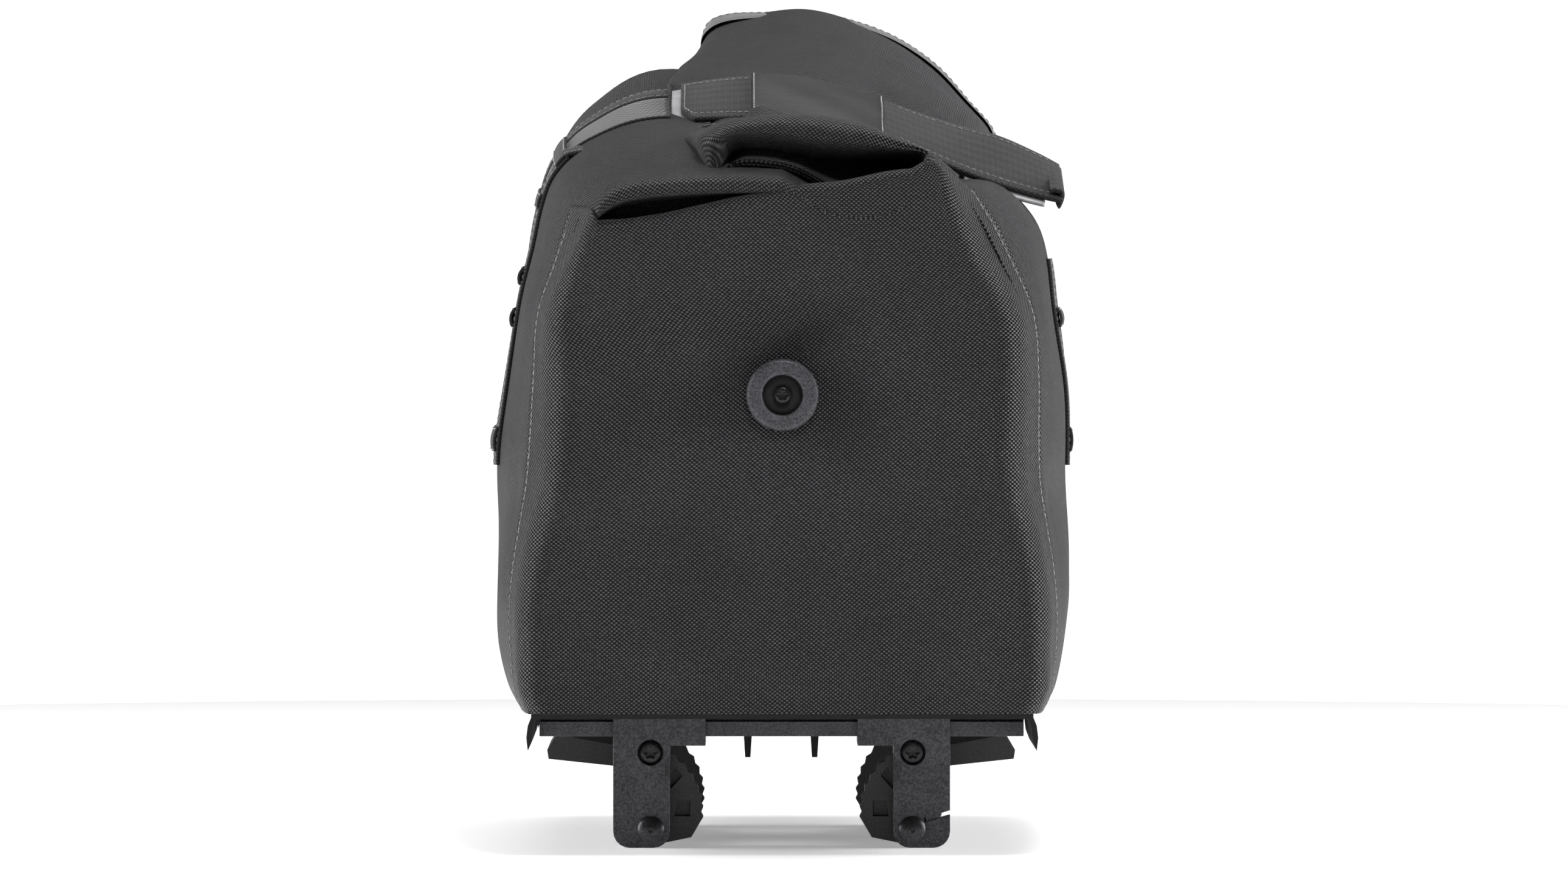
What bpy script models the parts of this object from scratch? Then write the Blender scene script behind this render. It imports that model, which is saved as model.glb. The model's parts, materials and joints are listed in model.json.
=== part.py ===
"""Roll-top carrier bag that clamps on top of a bicycle rack, closed and standing on its four hooks.

Metres, +Z up. X runs across the bag, Y along it, and z = 0 is under the hooks.
"""

import math

import bmesh
import bpy
import numpy as np
from mathutils import Matrix

# Bag
BAG_LENGTH = 0.340
BAG_HALF_WIDTH = 0.122
FABRIC = 0.0025
FLOOR_Z = 0.0600
WIDEST_Z = 0.140
SHOULDER_Z = 0.2250
PEAK_SHARE = 0.2353
FLOOR_DROP = 0.0100
SHOULDER_DROP = 0.0080
BOARD = 0.0025
BOARD_INSET = 0.006
# Carrying strap
STRAP_NEAR_SHARE = 0.45588
STRAP_WIDTH = 0.045
WEBBING = 0.0022
GRIP_EXTRA = 0.0004
GRIP_X = (-0.0120, 0.0430)
STRAP_LEFT_X = -0.0460
LEFT_PLATE_LENGTH = 0.0175
RIGHT_PLATE_LENGTH = 0.0270
PLATE_INSET = 0.002
STRAP_PLATE = 0.0020
TAB_THICK = 0.0035
# Ladder webbing
LADDER_WIDTH = 0.062
LADDER_THICK = 0.0015
LADDER_DROP = 0.060
# End studs
STUD_Z = 0.192
STUD_RADIUS = 0.0150
STUD_RECESS_RADIUS = 0.0084
STUD_HEIGHT = 0.0060
STUD_SCREW_RADIUS = 0.0020
# Base plate and rails
PLATE = 0.0022
PLATE_SIDE_SETBACK = 0.0180
PLATE_END_SETBACK = 0.0200
PLATE_EDGE_DROP = 0.0155
LIP_START_Y = 0.046
RAIL_Y = 0.068
RAIL_HALF_LIP = 0.0130
RAIL_HALF_NECK = 0.0080
RAIL_LIP = 0.0063
RAIL_NECK = 0.0039
BASE_SCREW_RADIUS = 0.0020
BASE_SCREW_INSET = 0.0160
FIN_X = 0.0142
FIN_LENGTH = 0.0210
# Rack hooks
HOOK_STEM_X = 0.0470
HOOK_STEM_WIDTH = 0.0240
HOOK_CLAW_REACH = 0.0150
HOOK_FRONT_WALL = 0.0040
HOOK_BACK_WALL = 0.0050
HOOK_CAP = 0.0035
HOOK_SHELF = 0.0035
HOOK_STEP = 0.0035
HOOK_STEM_THICK = 0.0075
HOOK_CORNER = 0.0070
CLAMP_HEAD_RADIUS = 0.0047
CLAMP_RADIUS = 0.0025
CLAMP_RECESS = 0.0055
NUT_SIDE = 0.0080
NUT_THICK = 0.0027
# Release shaft, jaws and levers
SHAFT_RADIUS = 0.0040
SHAFT_RIM = 0.0019
SHAFT_DOME = 0.0030
JAW_THICK = 0.0100
JAW_HUB_WALL = 0.0030
LEVER_HUB_WALL = 0.0030
LEVER_HALF_WIDTH = 0.0400
LEVER_SETBACK = 0.0080
SPRING_WIRE = 0.0006
SPRING_TURNS = 4
# Clearances
GAP = 0.0003
RUNNING = 0.0003
CLOTH_GAP = 0.0008
ROLL_GAP = 0.0030
SEAM = 0.0010

# Places that follow from the sizes
PLATE_HALF_WIDTH = BAG_HALF_WIDTH - PLATE_SIDE_SETBACK
RAIL_HALF_LENGTH = PLATE_HALF_WIDTH - 0.0020
BASE_SCREW_X = PLATE_HALF_WIDTH - BASE_SCREW_INSET
RAIL_LIP_TOP_Z = FLOOR_Z - 2 * GAP - PLATE - RAIL_NECK
RAIL_BOTTOM_Z = RAIL_LIP_TOP_Z - RAIL_LIP
HOOK_FACE_Y = RAIL_Y + RAIL_HALF_LIP + HOOK_FRONT_WALL
HOOK_INNER_X = HOOK_STEM_X - HOOK_CLAW_REACH
HOOK_OUTER_X = HOOK_STEM_X + HOOK_STEM_WIDTH
HOOK_TOP_Z = RAIL_LIP_TOP_Z + GAP + HOOK_CAP
HOOK_SEAT_Z = RAIL_BOTTOM_Z - GAP - HOOK_SHELF
CLAMP_X = HOOK_STEM_X + 0.0082
CLAMP_Z = HOOK_SEAT_Z - 0.0028
SHAFT_X = HOOK_STEM_X + 0.0081
JAW_HUB_RADIUS = SHAFT_RADIUS + JAW_HUB_WALL
LEVER_HUB_RADIUS = SHAFT_RADIUS + LEVER_HUB_WALL
SHAFT_Z = max(JAW_HUB_RADIUS, LEVER_HUB_RADIUS) + 0.0006
STRAP_PIVOT = (BAG_HALF_WIDTH - 0.022, SHOULDER_Z + 0.045)

HALF_LENGTH = BAG_LENGTH / 2
PEAK_Y = PEAK_SHARE * HALF_LENGTH
STRAP_NEAR_Y = -STRAP_NEAR_SHARE * HALF_LENGTH
STRAP_FAR_Y = STRAP_NEAR_Y + STRAP_WIDTH
SIDES = {"left": -1, "right": 1}
ENDS = {"front": -1, "back": 1}

for old in list(bpy.data.objects):
    bpy.data.objects.remove(old, do_unlink=True)
PARTS = bpy.data.collections.new("roll_top_rack_bag")
CUTTERS = bpy.data.collections.new("cutters")
CUTTERS.hide_render = True
for made in (PARTS, CUTTERS):
    bpy.context.scene.collection.children.link(made)


# Materials


def material(name, colour, roughness, metallic=0.0):
    made = bpy.data.materials.new(name)
    made.use_nodes = True
    shader = made.node_tree.nodes["Principled BSDF"]
    shader.inputs["Base Color"].default_value = (*colour, 1)
    shader.inputs["Roughness"].default_value = roughness
    shader.inputs["Metallic"].default_value = metallic
    return made


COATED_FABRIC = material("coated_fabric", (0.045, 0.045, 0.050), 0.75)
WEBBING_CLOTH = material("webbing_cloth", (0.060, 0.060, 0.066), 0.8)
GRIP_CLOTH = material("grip_cloth", (0.050, 0.050, 0.052), 0.45)
MOULDED = material("moulded_plastic", (0.060, 0.060, 0.068), 0.5)
BLACK_PLASTIC = material("black_plastic", (0.020, 0.020, 0.022), 0.45)
PLATE_METAL = material("anodised_plate", (0.35, 0.35, 0.36), 0.35, 0.9)
STEEL = material("blackened_steel", (0.10, 0.10, 0.11), 0.3, 0.9)


# Making and joining pieces


def place(name, mesh, finish, pivot=(0, 0, 0)):
    """Links a mesh whose points are in world space, with the object's origin moved to its pivot."""
    shape = bmesh.new()
    shape.from_mesh(mesh)
    bmesh.ops.recalc_face_normals(shape, faces=shape.faces)
    bmesh.ops.translate(shape, verts=shape.verts, vec=[-value for value in pivot])
    shape.to_mesh(mesh)
    shape.free()
    obj = bpy.data.objects.new(name, mesh)
    obj.location = pivot
    mesh.materials.append(finish)
    PARTS.objects.link(obj)
    return obj


def box(name, low, high, finish=MOULDED, pivot=(0, 0, 0)):
    low, high = np.minimum(low, high), np.maximum(low, high)
    shape = bmesh.new()
    bmesh.ops.create_cube(shape, size=1)
    bmesh.ops.scale(shape, verts=shape.verts, vec=high - low)
    bmesh.ops.translate(shape, verts=shape.verts, vec=(low + high) / 2)
    mesh = bpy.data.meshes.new(name)
    shape.to_mesh(mesh)
    shape.free()
    return place(name, mesh, finish, pivot)


def rod(name, centre, radius, ends, finish=MOULDED, axis="Y", segments=24, pivot=(0, 0, 0)):
    """Cylinder along Y or Z between two coordinates, through a centre given by its other two."""
    shape = bmesh.new()
    depth = abs(ends[1] - ends[0])
    middle = (ends[0] + ends[1]) / 2
    bmesh.ops.create_cone(
        shape, cap_ends=True, segments=segments, radius1=radius, radius2=radius, depth=depth
    )
    if axis == "Y":
        bmesh.ops.transform(shape, verts=shape.verts, matrix=Matrix.Rotation(math.pi / 2, 4, "X"))
        move = (centre[0], middle, centre[1])
    else:
        move = (centre[0], centre[1], middle)
    bmesh.ops.translate(shape, verts=shape.verts, vec=move)
    mesh = bpy.data.meshes.new(name)
    shape.to_mesh(mesh)
    shape.free()
    return place(name, mesh, finish, pivot)


def prism(name, outline, ends, finish=MOULDED, pivot=(0, 0, 0)):
    """Flat outline of (x, z) points, extruded along Y between two coordinates."""
    curve = bpy.data.curves.new(name, "CURVE")
    curve.dimensions = "2D"
    curve.fill_mode = "BOTH"
    curve.extrude = abs(ends[1] - ends[0]) / 2
    line = curve.splines.new("POLY")
    line.points.add(len(outline) - 1)
    for point, (x, z) in zip(line.points, outline):
        point.co = (x, z, 0, 1)
    line.use_cyclic_u = True
    drawn = bpy.data.objects.new(name, curve)
    CUTTERS.objects.link(drawn)
    bpy.context.view_layer.update()
    graph = bpy.context.evaluated_depsgraph_get()
    mesh = bpy.data.meshes.new_from_object(drawn.evaluated_get(graph))
    bpy.data.objects.remove(drawn)
    mesh.transform(Matrix.Rotation(math.pi / 2, 4, "X"))
    mesh.transform(Matrix.Translation((0, (ends[0] + ends[1]) / 2, 0)))
    shape = bmesh.new()
    shape.from_mesh(mesh)
    bmesh.ops.remove_doubles(shape, verts=shape.verts, dist=1e-5)
    shape.to_mesh(mesh)
    shape.free()
    return place(name, mesh, finish, pivot)


def turned(name, profile, centre, start_y, outward, finish, closed=False, steps=24):
    """Profile of (radius, depth) points turned about an axis along Y.

    Depth counts from start_y along outward (1 for +Y, -1 for -Y). The profile starts outermost.
    """
    mesh = bpy.data.meshes.new(name)
    count = len(profile)
    edges = [(i, i + 1) for i in range(count - 1)] + ([(count - 1, 0)] if closed else [])
    mesh.from_pydata([(radius, 0, depth) for radius, depth in profile], edges, [])
    obj = bpy.data.objects.new(name, mesh)
    obj.location = (centre[0], start_y, centre[1])
    obj.rotation_euler = (-outward * math.pi / 2, 0, 0)
    mesh.materials.append(finish)
    PARTS.objects.link(obj)
    screw = obj.modifiers.new("turn", "SCREW")
    screw.steps = screw.render_steps = steps
    screw.use_merge_vertices = True
    screw.merge_threshold = 0.00001
    return obj


def combine(obj, tool, operation):
    """Boolean of a piece with a helper, which moves to the cutters."""
    PARTS.objects.unlink(tool)
    CUTTERS.objects.link(tool)
    tool.hide_render = True
    tool.display_type = "WIRE"
    step = obj.modifiers.new(operation.lower(), "BOOLEAN")
    step.operation = operation
    step.object = tool


def cut(obj, *tools):
    for tool in tools:
        combine(obj, tool, "DIFFERENCE")


def join(obj, *tools):
    for tool in tools:
        combine(obj, tool, "UNION")


def arc(centre, radius, start, stop, count):
    """Points of a circle's arc, angles in degrees from +X towards +Z."""
    angles = np.radians(np.linspace(start, stop, count))
    return [(centre[0] + radius * math.cos(a), centre[1] + radius * math.sin(a)) for a in angles]


def mirrored(outline, side):
    return [(side * x, z) for x, z in outline]


def grid_mesh(name, points):
    """Open surface through an array of points (rows, columns, 3)."""
    rows, columns = points.shape[:2]
    index = np.arange(rows * columns).reshape(rows, columns)
    quads = np.stack([index[:-1, :-1], index[:-1, 1:], index[1:, 1:], index[1:, :-1]], axis=-1)
    mesh = bpy.data.meshes.new(name)
    mesh.from_pydata(points.reshape(-1, 3).tolist(), [], quads.reshape(-1, 4).tolist())
    return mesh


def shell(name, points, thickness, outward, finish, pivot=(0, 0, 0)):
    """Sheet through a grid, thickened to the inner side (outward is a rough outward direction).

    A negative thickness is laid on the outer side instead.
    """
    mesh = grid_mesh(name, points - np.array(pivot))
    mesh.update()
    facing = np.zeros(3)
    for face in mesh.polygons:
        facing += np.array(face.normal) * face.area
    if facing @ np.array(outward) < 0:
        mesh.flip_normals()
    obj = bpy.data.objects.new(name, mesh)
    obj.location = pivot
    mesh.materials.append(finish)
    PARTS.objects.link(obj)
    wall = obj.modifiers.new("wall", "SOLIDIFY")
    wall.thickness = abs(thickness)
    wall.offset = -1 if thickness > 0 else 1
    return obj


# Fabric bag: the outline across it changes from end to end


PINCH_Z = [FLOOR_Z, 0.085, 0.107, 0.1235, 0.145, 0.163, 0.195, SHOULDER_Z]
PINCH = [0.0060, 0.0113, 0.0120, 0.0150, 0.0210, 0.0245, 0.0215, 0.0180]


def side_half_width(y, z):
    """Half width at a place: full down to near the floor, leaning in above, pinched at the ends."""
    low = np.clip((WIDEST_Z - z) / (WIDEST_Z - FLOOR_Z), 0, 1)
    high = np.clip((z - WIDEST_Z) / (SHOULDER_Z - WIDEST_Z), 0, 1)
    middle = BAG_HALF_WIDTH - FLOOR_DROP * low**6 - SHOULDER_DROP * high**2
    return middle - np.interp(z, PINCH_Z, PINCH) * np.abs(y / HALF_LENGTH) ** 4


def crown(y):
    """Share of the top's full rise at a place along the bag: 0 at the ends, 1 at PEAK_Y."""
    near = np.clip((PEAK_Y - y) / (PEAK_Y + HALF_LENGTH), 0, 1) ** 1.2
    far = np.clip((y - PEAK_Y) / (HALF_LENGTH - PEAK_Y), 0, 1) ** 1.6
    return 1 - np.where(y < PEAK_Y, near, far)


# Each place on a cover's outline: share of the bag's half width at the shoulder, and rise above the shoulder
COVER_FOOT = 0.0012
COVER_ENDS = {
    "left": [(1.0, COVER_FOOT), (0.893, 0.0200), (0.797, 0.0385), (0.604, 0.0450), (0.386, 0.0480)],
    "right": [
        (1.0, COVER_FOOT),
        (0.844, 0.0215),
        (0.740, 0.0410),
        (0.615, 0.0570),
        (0.125, 0.0530),
        (-0.323, 0.0485),
    ],
}
COVER_MIDDLES = {
    "left": [(1.0, COVER_FOOT), (0.943, 0.0360), (0.850, 0.0655), (0.640, 0.0900), (0.320, 0.1015)],
    "right": [
        (1.0, COVER_FOOT),
        (0.938, 0.0290),
        (0.800, 0.0525),
        (0.561, 0.0600),
        (0.132, 0.0870),
        (-0.263, 0.0990),
    ],
}


END_TOP_RIGHT = [(0.844, 0.0230), (0.740, 0.0450), (0.640, 0.0630)]
END_TOP_LEFT = [(0.797, 0.0395), (0.893, 0.0200)]


def cover_line(side, y):
    """Outline of a top cover at one place along the bag, from the shoulder to the mouth."""
    end, middle = np.array(COVER_ENDS[side]), np.array(COVER_MIDDLES[side])
    across = 1 - abs(y / HALF_LENGTH) ** 4
    share = end[:, 0] + (middle[:, 0] - end[:, 0]) * across
    rise = end[:, 1] + (middle[:, 1] - end[:, 1]) * crown(np.array(y))
    reach = SIDES[side] * side_half_width(y, SHOULDER_Z)
    return np.stack([share * reach, SHOULDER_Z + rise], axis=1)


def side_panel(side):
    sign = SIDES[side]
    clear = HALF_LENGTH - FABRIC - GAP
    y, z = np.meshgrid(
        np.linspace(-clear, clear, 10), np.linspace(FLOOR_Z + FABRIC + GAP, SHOULDER_Z, 7), indexing="ij"
    )
    points = np.stack([sign * side_half_width(y, z), y, z], axis=-1)
    return shell(side + "_side_panel", points, FABRIC, (sign, 0, 0), COATED_FABRIC)


def top_cover(side):
    clear = HALF_LENGTH - FABRIC - GAP
    stations = np.linspace(-clear, clear, 10)
    points = np.array([[(x, y, z) for x, z in cover_line(side, y)] for y in stations])
    return shell(side + "_top_cover", points, FABRIC, (0, 0, 1), COATED_FABRIC)


def end_panel(end):
    sign = ENDS[end]
    heights = np.linspace(FLOOR_Z, SHOULDER_Z, 8)
    right = [(float(side_half_width(HALF_LENGTH, z)), float(z)) for z in heights]
    left = [(-x, z) for x, z in reversed(right)]
    reach = right[-1][0]
    top_right = [(reach * share, SHOULDER_Z + rise) for share, rise in END_TOP_RIGHT]
    top_left = [(-reach * share, SHOULDER_Z + rise) for share, rise in END_TOP_LEFT]
    outer = sign * HALF_LENGTH
    inner = outer - sign * FABRIC
    panel = prism(end + "_end_panel", right + top_right + top_left + left, (outer, inner), COATED_FABRIC)
    through = (outer + sign * 0.01, inner - sign * 0.01)
    hole = rod("stud_hole", (0, STUD_Z), STUD_SCREW_RADIUS + RUNNING, through)
    cut(panel, hole)
    return panel


def floor_sheet(name, low, thick, inset, finish):
    """Flat sheet across the bag's floor, its sides set in from the fabric walls."""
    half_x = float(side_half_width(HALF_LENGTH, FLOOR_Z)) - inset
    half_y = HALF_LENGTH - FABRIC - GAP - inset
    sheet = box(name, (-half_x, -half_y, low), (half_x, half_y, low + thick), finish)
    through = (low - 0.01, low + 0.02)
    for x in (-BASE_SCREW_X, BASE_SCREW_X):
        for y in (-RAIL_Y, RAIL_Y):
            cut(sheet, rod("floor_hole", (x, y), BASE_SCREW_RADIUS + RUNNING, through, axis="Z"))
    return sheet


for side in SIDES:
    side_panel(side)
    top_cover(side)
for end in ENDS:
    end_panel(end)
floor_sheet("bottom_panel", FLOOR_Z, FABRIC, 0.0, COATED_FABRIC)
floor_sheet("bottom_board", FLOOR_Z + FABRIC + GAP, BOARD, BOARD_INSET, BLACK_PLASTIC)


# Rolled mouth: a flattened bump on the covers, thin under the strap and flared at the back


def cover_height(x, y):
    """Height of the two covers' outer surface, the mouth slot bridged."""
    line = np.concatenate([cover_line("left", y), cover_line("right", y)[::-1]])
    return np.interp(x, line[:, 0], line[:, 1])


ROLL_NEAR_Y = -(HALF_LENGTH - 0.020)
ROLL_FAR_Y = HALF_LENGTH - 0.040
# Along the roll: place, rise of its top, and right edge as a share of the bag's half width
ROLL_STATIONS = [
    (ROLL_NEAR_Y, 0.0200, 0.492),
    (STRAP_NEAR_Y, 0.0020, 0.500),
    (STRAP_FAR_Y, 0.0090, 0.508),
    (ROLL_FAR_Y - 0.030, 0.0500, 0.660),
    (ROLL_FAR_Y, 0.0530, 0.689),
]
ROLL_LEFT_SHARE = -0.246


def roll_section(y):
    """Closed ring of points: along the covers, then back over a half ellipse."""
    places, rises, edges = zip(*ROLL_STATIONS)
    left = ROLL_LEFT_SHARE * BAG_HALF_WIDTH
    right = float(np.interp(y, places, edges)) * BAG_HALF_WIDTH
    rise = float(np.interp(y, places, rises))
    share = np.linspace(0, 1, 12)
    x = left + (right - left) * (1 - np.cos(math.pi * share)) / 2
    bottom = np.array([cover_height(value, y) for value in x]) + ROLL_GAP
    swell = 0.0012 + rise * np.sqrt(np.clip(1 - (2 * (x - left) / (right - left) - 1) ** 2, 0, 1))
    lower = np.stack([x, np.full_like(x, y), bottom], axis=1)
    upper = np.stack([x, np.full_like(x, y), bottom + swell], axis=1)
    return np.concatenate([lower, upper[::-1]])


def rolled_top():
    under_strap = [STRAP_NEAR_Y, STRAP_NEAR_Y + STRAP_WIDTH / 2, STRAP_FAR_Y]
    before = np.linspace(ROLL_NEAR_Y, STRAP_NEAR_Y, 3)[:-1].tolist()
    after = np.linspace(STRAP_FAR_Y, ROLL_FAR_Y, 6)[1:].tolist()
    stations = before + under_strap + after
    rings = np.array([roll_section(y) for y in stations])
    count = rings.shape[1]
    index = np.arange(len(stations) * count).reshape(len(stations), count)
    after = np.roll(index, -1, axis=1)
    walls = np.stack([index[:-1], after[:-1], after[1:], index[1:]], axis=-1).reshape(-1, 4).tolist()
    mesh = bpy.data.meshes.new("rolled_top")
    mesh.from_pydata(rings.reshape(-1, 3).tolist(), [], walls + [index[0].tolist(), index[-1].tolist()])
    return place("rolled_top", mesh, COATED_FABRIC)


rolled_top()


# Ladder webbing on each side, which the strap's plates hook into


LADDER_LIFT = CLOTH_GAP + 0.0004


def ladder(side):
    """Webbing that follows side panel and cover, set off from them along each place's normal."""
    sign = SIDES[side]
    rows = []
    for y in np.linspace(STRAP_NEAR_Y - 0.008, STRAP_NEAR_Y - 0.008 + LADDER_WIDTH, 5):
        heights = (SHOULDER_Z - LADDER_DROP, SHOULDER_Z - LADDER_DROP / 2)
        low = [(sign * float(side_half_width(y, z)), z) for z in heights]
        keep = 5 if side == "left" else 3
        line = np.array(low + [tuple(point) for point in cover_line(side, y)[:keep]])
        along = np.gradient(line, axis=0)
        along /= np.linalg.norm(along, axis=1, keepdims=True)
        normal = np.stack([along[:, 1], -along[:, 0]], axis=1) * sign
        line = line + normal * LADDER_LIFT
        rows.append([(x, y, z) for x, z in line])
    return shell(side + "_ladder", np.array(rows), -LADDER_THICK, (sign, 0, 0.5), WEBBING_CLOTH)


for side in SIDES:
    ladder(side)


# Carrying strap, tilted so that its front edge lies lower, with a flat hook plate at each end

# Along the strap: place as a share of the bag's half width, and its two edges' rise above the shoulder
STRAP_LINE = [
    (-0.402, 0.0825, 0.0970),
    (-0.0985, 0.0835, 0.1015),
    (0.123, 0.0815, 0.0980),
    (0.3526, 0.0760, 0.0905),
    (0.623, 0.0610, 0.0790),
    (0.893, 0.0510, 0.0640),
    (0.984, 0.0470, 0.0590),
]
STRAP_KNOTS = [share * BAG_HALF_WIDTH for share, _, _ in STRAP_LINE]
STRAP_FRONT_Z = [SHOULDER_Z + front for _, front, _ in STRAP_LINE]
STRAP_BACK_Z = [SHOULDER_Z + back for _, _, back in STRAP_LINE]
STRAP_RIGHT_X = STRAP_KNOTS[-1] - 0.0055


def strap_run(name, x_start, x_stop, thickness, finish, lowered=0.0, inset=0.0):
    """Stretch of the strap between two places, or a plate under it lowered by a distance."""
    x = np.array([x_start] + [knot for knot in STRAP_KNOTS if x_start < knot < x_stop] + [x_stop])
    rows = []
    for share in (inset / STRAP_WIDTH, 1 - inset / STRAP_WIDTH):
        front = np.interp(x, STRAP_KNOTS, STRAP_FRONT_Z)
        back = np.interp(x, STRAP_KNOTS, STRAP_BACK_Z)
        y = np.full_like(x, STRAP_NEAR_Y + share * STRAP_WIDTH)
        rows.append(np.stack([x, y, front + (back - front) * share - lowered], axis=1))
    pivot = (STRAP_PIVOT[0], STRAP_NEAR_Y + STRAP_WIDTH / 2, STRAP_PIVOT[1])
    return shell(name, np.array(rows), thickness, (0, 0, 1), finish, pivot)


strap_run("strap_left_webbing", STRAP_LEFT_X, GRIP_X[0] - SEAM, WEBBING, WEBBING_CLOTH)
strap_run("grip_wrap", *GRIP_X, WEBBING + GRIP_EXTRA, GRIP_CLOTH)
strap_run("strap_right_webbing", GRIP_X[1] + SEAM, STRAP_RIGHT_X, WEBBING, WEBBING_CLOTH)
LEFT_PLATE_X = STRAP_LEFT_X - 0.0030
RIGHT_PLATE_X = STRAP_RIGHT_X - 0.0055
for name, x_start, x_stop, drop in (
    ("left_hook_plate", LEFT_PLATE_X, LEFT_PLATE_X + LEFT_PLATE_LENGTH, 0.0007),
    ("right_hook_plate", RIGHT_PLATE_X - RIGHT_PLATE_LENGTH, RIGHT_PLATE_X, 0.0014),
):
    strap_run(name, x_start, x_stop, STRAP_PLATE, PLATE_METAL, WEBBING + drop, PLATE_INSET)
TAB_X = STRAP_RIGHT_X + 0.0015
TAB_TOP_Z = STRAP_BACK_Z[-1]
prism(
    "pull_tab",
    [
        (TAB_X, TAB_TOP_Z),
        (TAB_X + TAB_THICK + 0.0005, TAB_TOP_Z - 0.0005),
        (TAB_X + TAB_THICK, TAB_TOP_Z - 0.0150),
        (TAB_X + 0.0005, TAB_TOP_Z - 0.0160),
    ],
    (STRAP_NEAR_Y + PLATE_INSET, STRAP_FAR_Y - PLATE_INSET),
    WEBBING_CLOTH,
    (STRAP_PIVOT[0], STRAP_NEAR_Y + STRAP_WIDTH / 2, STRAP_PIVOT[1]),
)


# Studs at the ends, for a shoulder strap: ring outside, backing nut inside, one screw through both


STUD_FLOOR = 0.0022


def stud(end):
    sign = ENDS[end]
    face = sign * (HALF_LENGTH + GAP)
    centre = (0, STUD_Z)
    ring = [
        (STUD_RECESS_RADIUS + 0.0006, STUD_HEIGHT),
        (STUD_RADIUS - 0.0022, STUD_HEIGHT),
        (STUD_RADIUS - 0.0006, STUD_HEIGHT - 0.0008),
        (STUD_RADIUS, STUD_HEIGHT - 0.0024),
        (STUD_RADIUS, 0),
        (STUD_SCREW_RADIUS + RUNNING, 0),
        (STUD_SCREW_RADIUS + RUNNING, STUD_FLOOR),
        (STUD_RECESS_RADIUS, STUD_FLOOR),
        (STUD_RECESS_RADIUS, STUD_HEIGHT - 0.0006),
    ]
    turned(end + "_stud", ring, centre, face, sign, MOULDED, closed=True, steps=32)
    head = STUD_FLOOR + GAP
    screw = [
        (0, head + 0.0012),
        (0.0018, head + 0.0012),
        (0.0018, head + 0.0022),
        (0.0030, head + 0.0022),
        (0.0035, head + 0.0016),
        (0.0035, head),
        (STUD_SCREW_RADIUS, head),
        (STUD_SCREW_RADIUS, -0.0070),
        (0, -0.0070),
    ]
    turned(end + "_stud_screw", screw, centre, face, sign, STEEL, steps=16)
    inside = -FABRIC - 2 * GAP
    nut = [
        (0.0110, inside),
        (0.0110, inside - 0.0030),
        (STUD_SCREW_RADIUS + RUNNING, inside - 0.0030),
        (STUD_SCREW_RADIUS + RUNNING, inside),
    ]
    turned(end + "_stud_backing_nut", nut, centre, face, sign, STEEL, closed=True, steps=16)


for end in ENDS:
    stud(end)


# Base: plate with turned-down side lips and guide fins, two T-shaped rails, and four screws


PLATE_HALF_LENGTH = HALF_LENGTH - PLATE_END_SETBACK


def base_plate():
    top = FLOOR_Z - GAP
    under = top - PLATE
    plate = box(
        "base_plate",
        (-PLATE_HALF_WIDTH, -PLATE_HALF_LENGTH, under),
        (PLATE_HALF_WIDTH, PLATE_HALF_LENGTH, top),
    )
    edge = PLATE_HALF_WIDTH
    lip = [
        (edge - 0.0020, top),
        (edge - 0.0002, top - 0.0010),
        (edge + 0.0014, top - 0.0050),
        (edge + 0.0020, top - 0.0100),
        (edge + 0.0014, top - PLATE_EDGE_DROP),
        (edge - 0.0002, top - PLATE_EDGE_DROP + 0.0042),
        (edge - 0.0008, top - 0.0060),
        (edge - 0.0020, under),
    ]
    tip = under - FIN_LENGTH
    fin = [(-0.00245, under + 0.001), (0.00245, under + 0.001), (0.00115, tip), (-0.00115, tip)]
    for sign in SIDES.values():
        for end in ENDS.values():
            stretch = (end * LIP_START_Y, end * PLATE_HALF_LENGTH)
            join(plate, prism("lip", mirrored(lip, sign), stretch))
        shifted = [(sign * FIN_X + x, z) for x, z in fin]
        join(plate, prism("fin", shifted, (-0.048, -0.034)))
        for y in (-RAIL_Y, RAIL_Y):
            centre = (sign * BASE_SCREW_X, y)
            through = (under - 0.01, top + 0.01)
            cut(plate, rod("plate_hole", centre, BASE_SCREW_RADIUS + RUNNING, through, axis="Z"))
    return plate


def rail(end):
    sign = ENDS[end]
    middle = sign * RAIL_Y
    neck_top = FLOOR_Z - GAP - PLATE - GAP
    bar = box(
        end + "_rail",
        (-RAIL_HALF_LENGTH, middle - RAIL_HALF_LIP, RAIL_BOTTOM_Z),
        (RAIL_HALF_LENGTH, middle + RAIL_HALF_LIP, RAIL_LIP_TOP_Z),
    )
    neck = box(
        "neck",
        (-RAIL_HALF_LENGTH + 0.001, middle - RAIL_HALF_NECK, RAIL_LIP_TOP_Z - 0.002),
        (RAIL_HALF_LENGTH - 0.001, middle + RAIL_HALF_NECK, neck_top),
    )
    join(bar, neck)
    for x in (-BASE_SCREW_X, BASE_SCREW_X):
        depth = (RAIL_BOTTOM_Z + 0.0015, neck_top + 0.01)
        cut(bar, rod("rail_hole", (x, middle), BASE_SCREW_RADIUS + RUNNING, depth, axis="Z"))
    return bar


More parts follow.
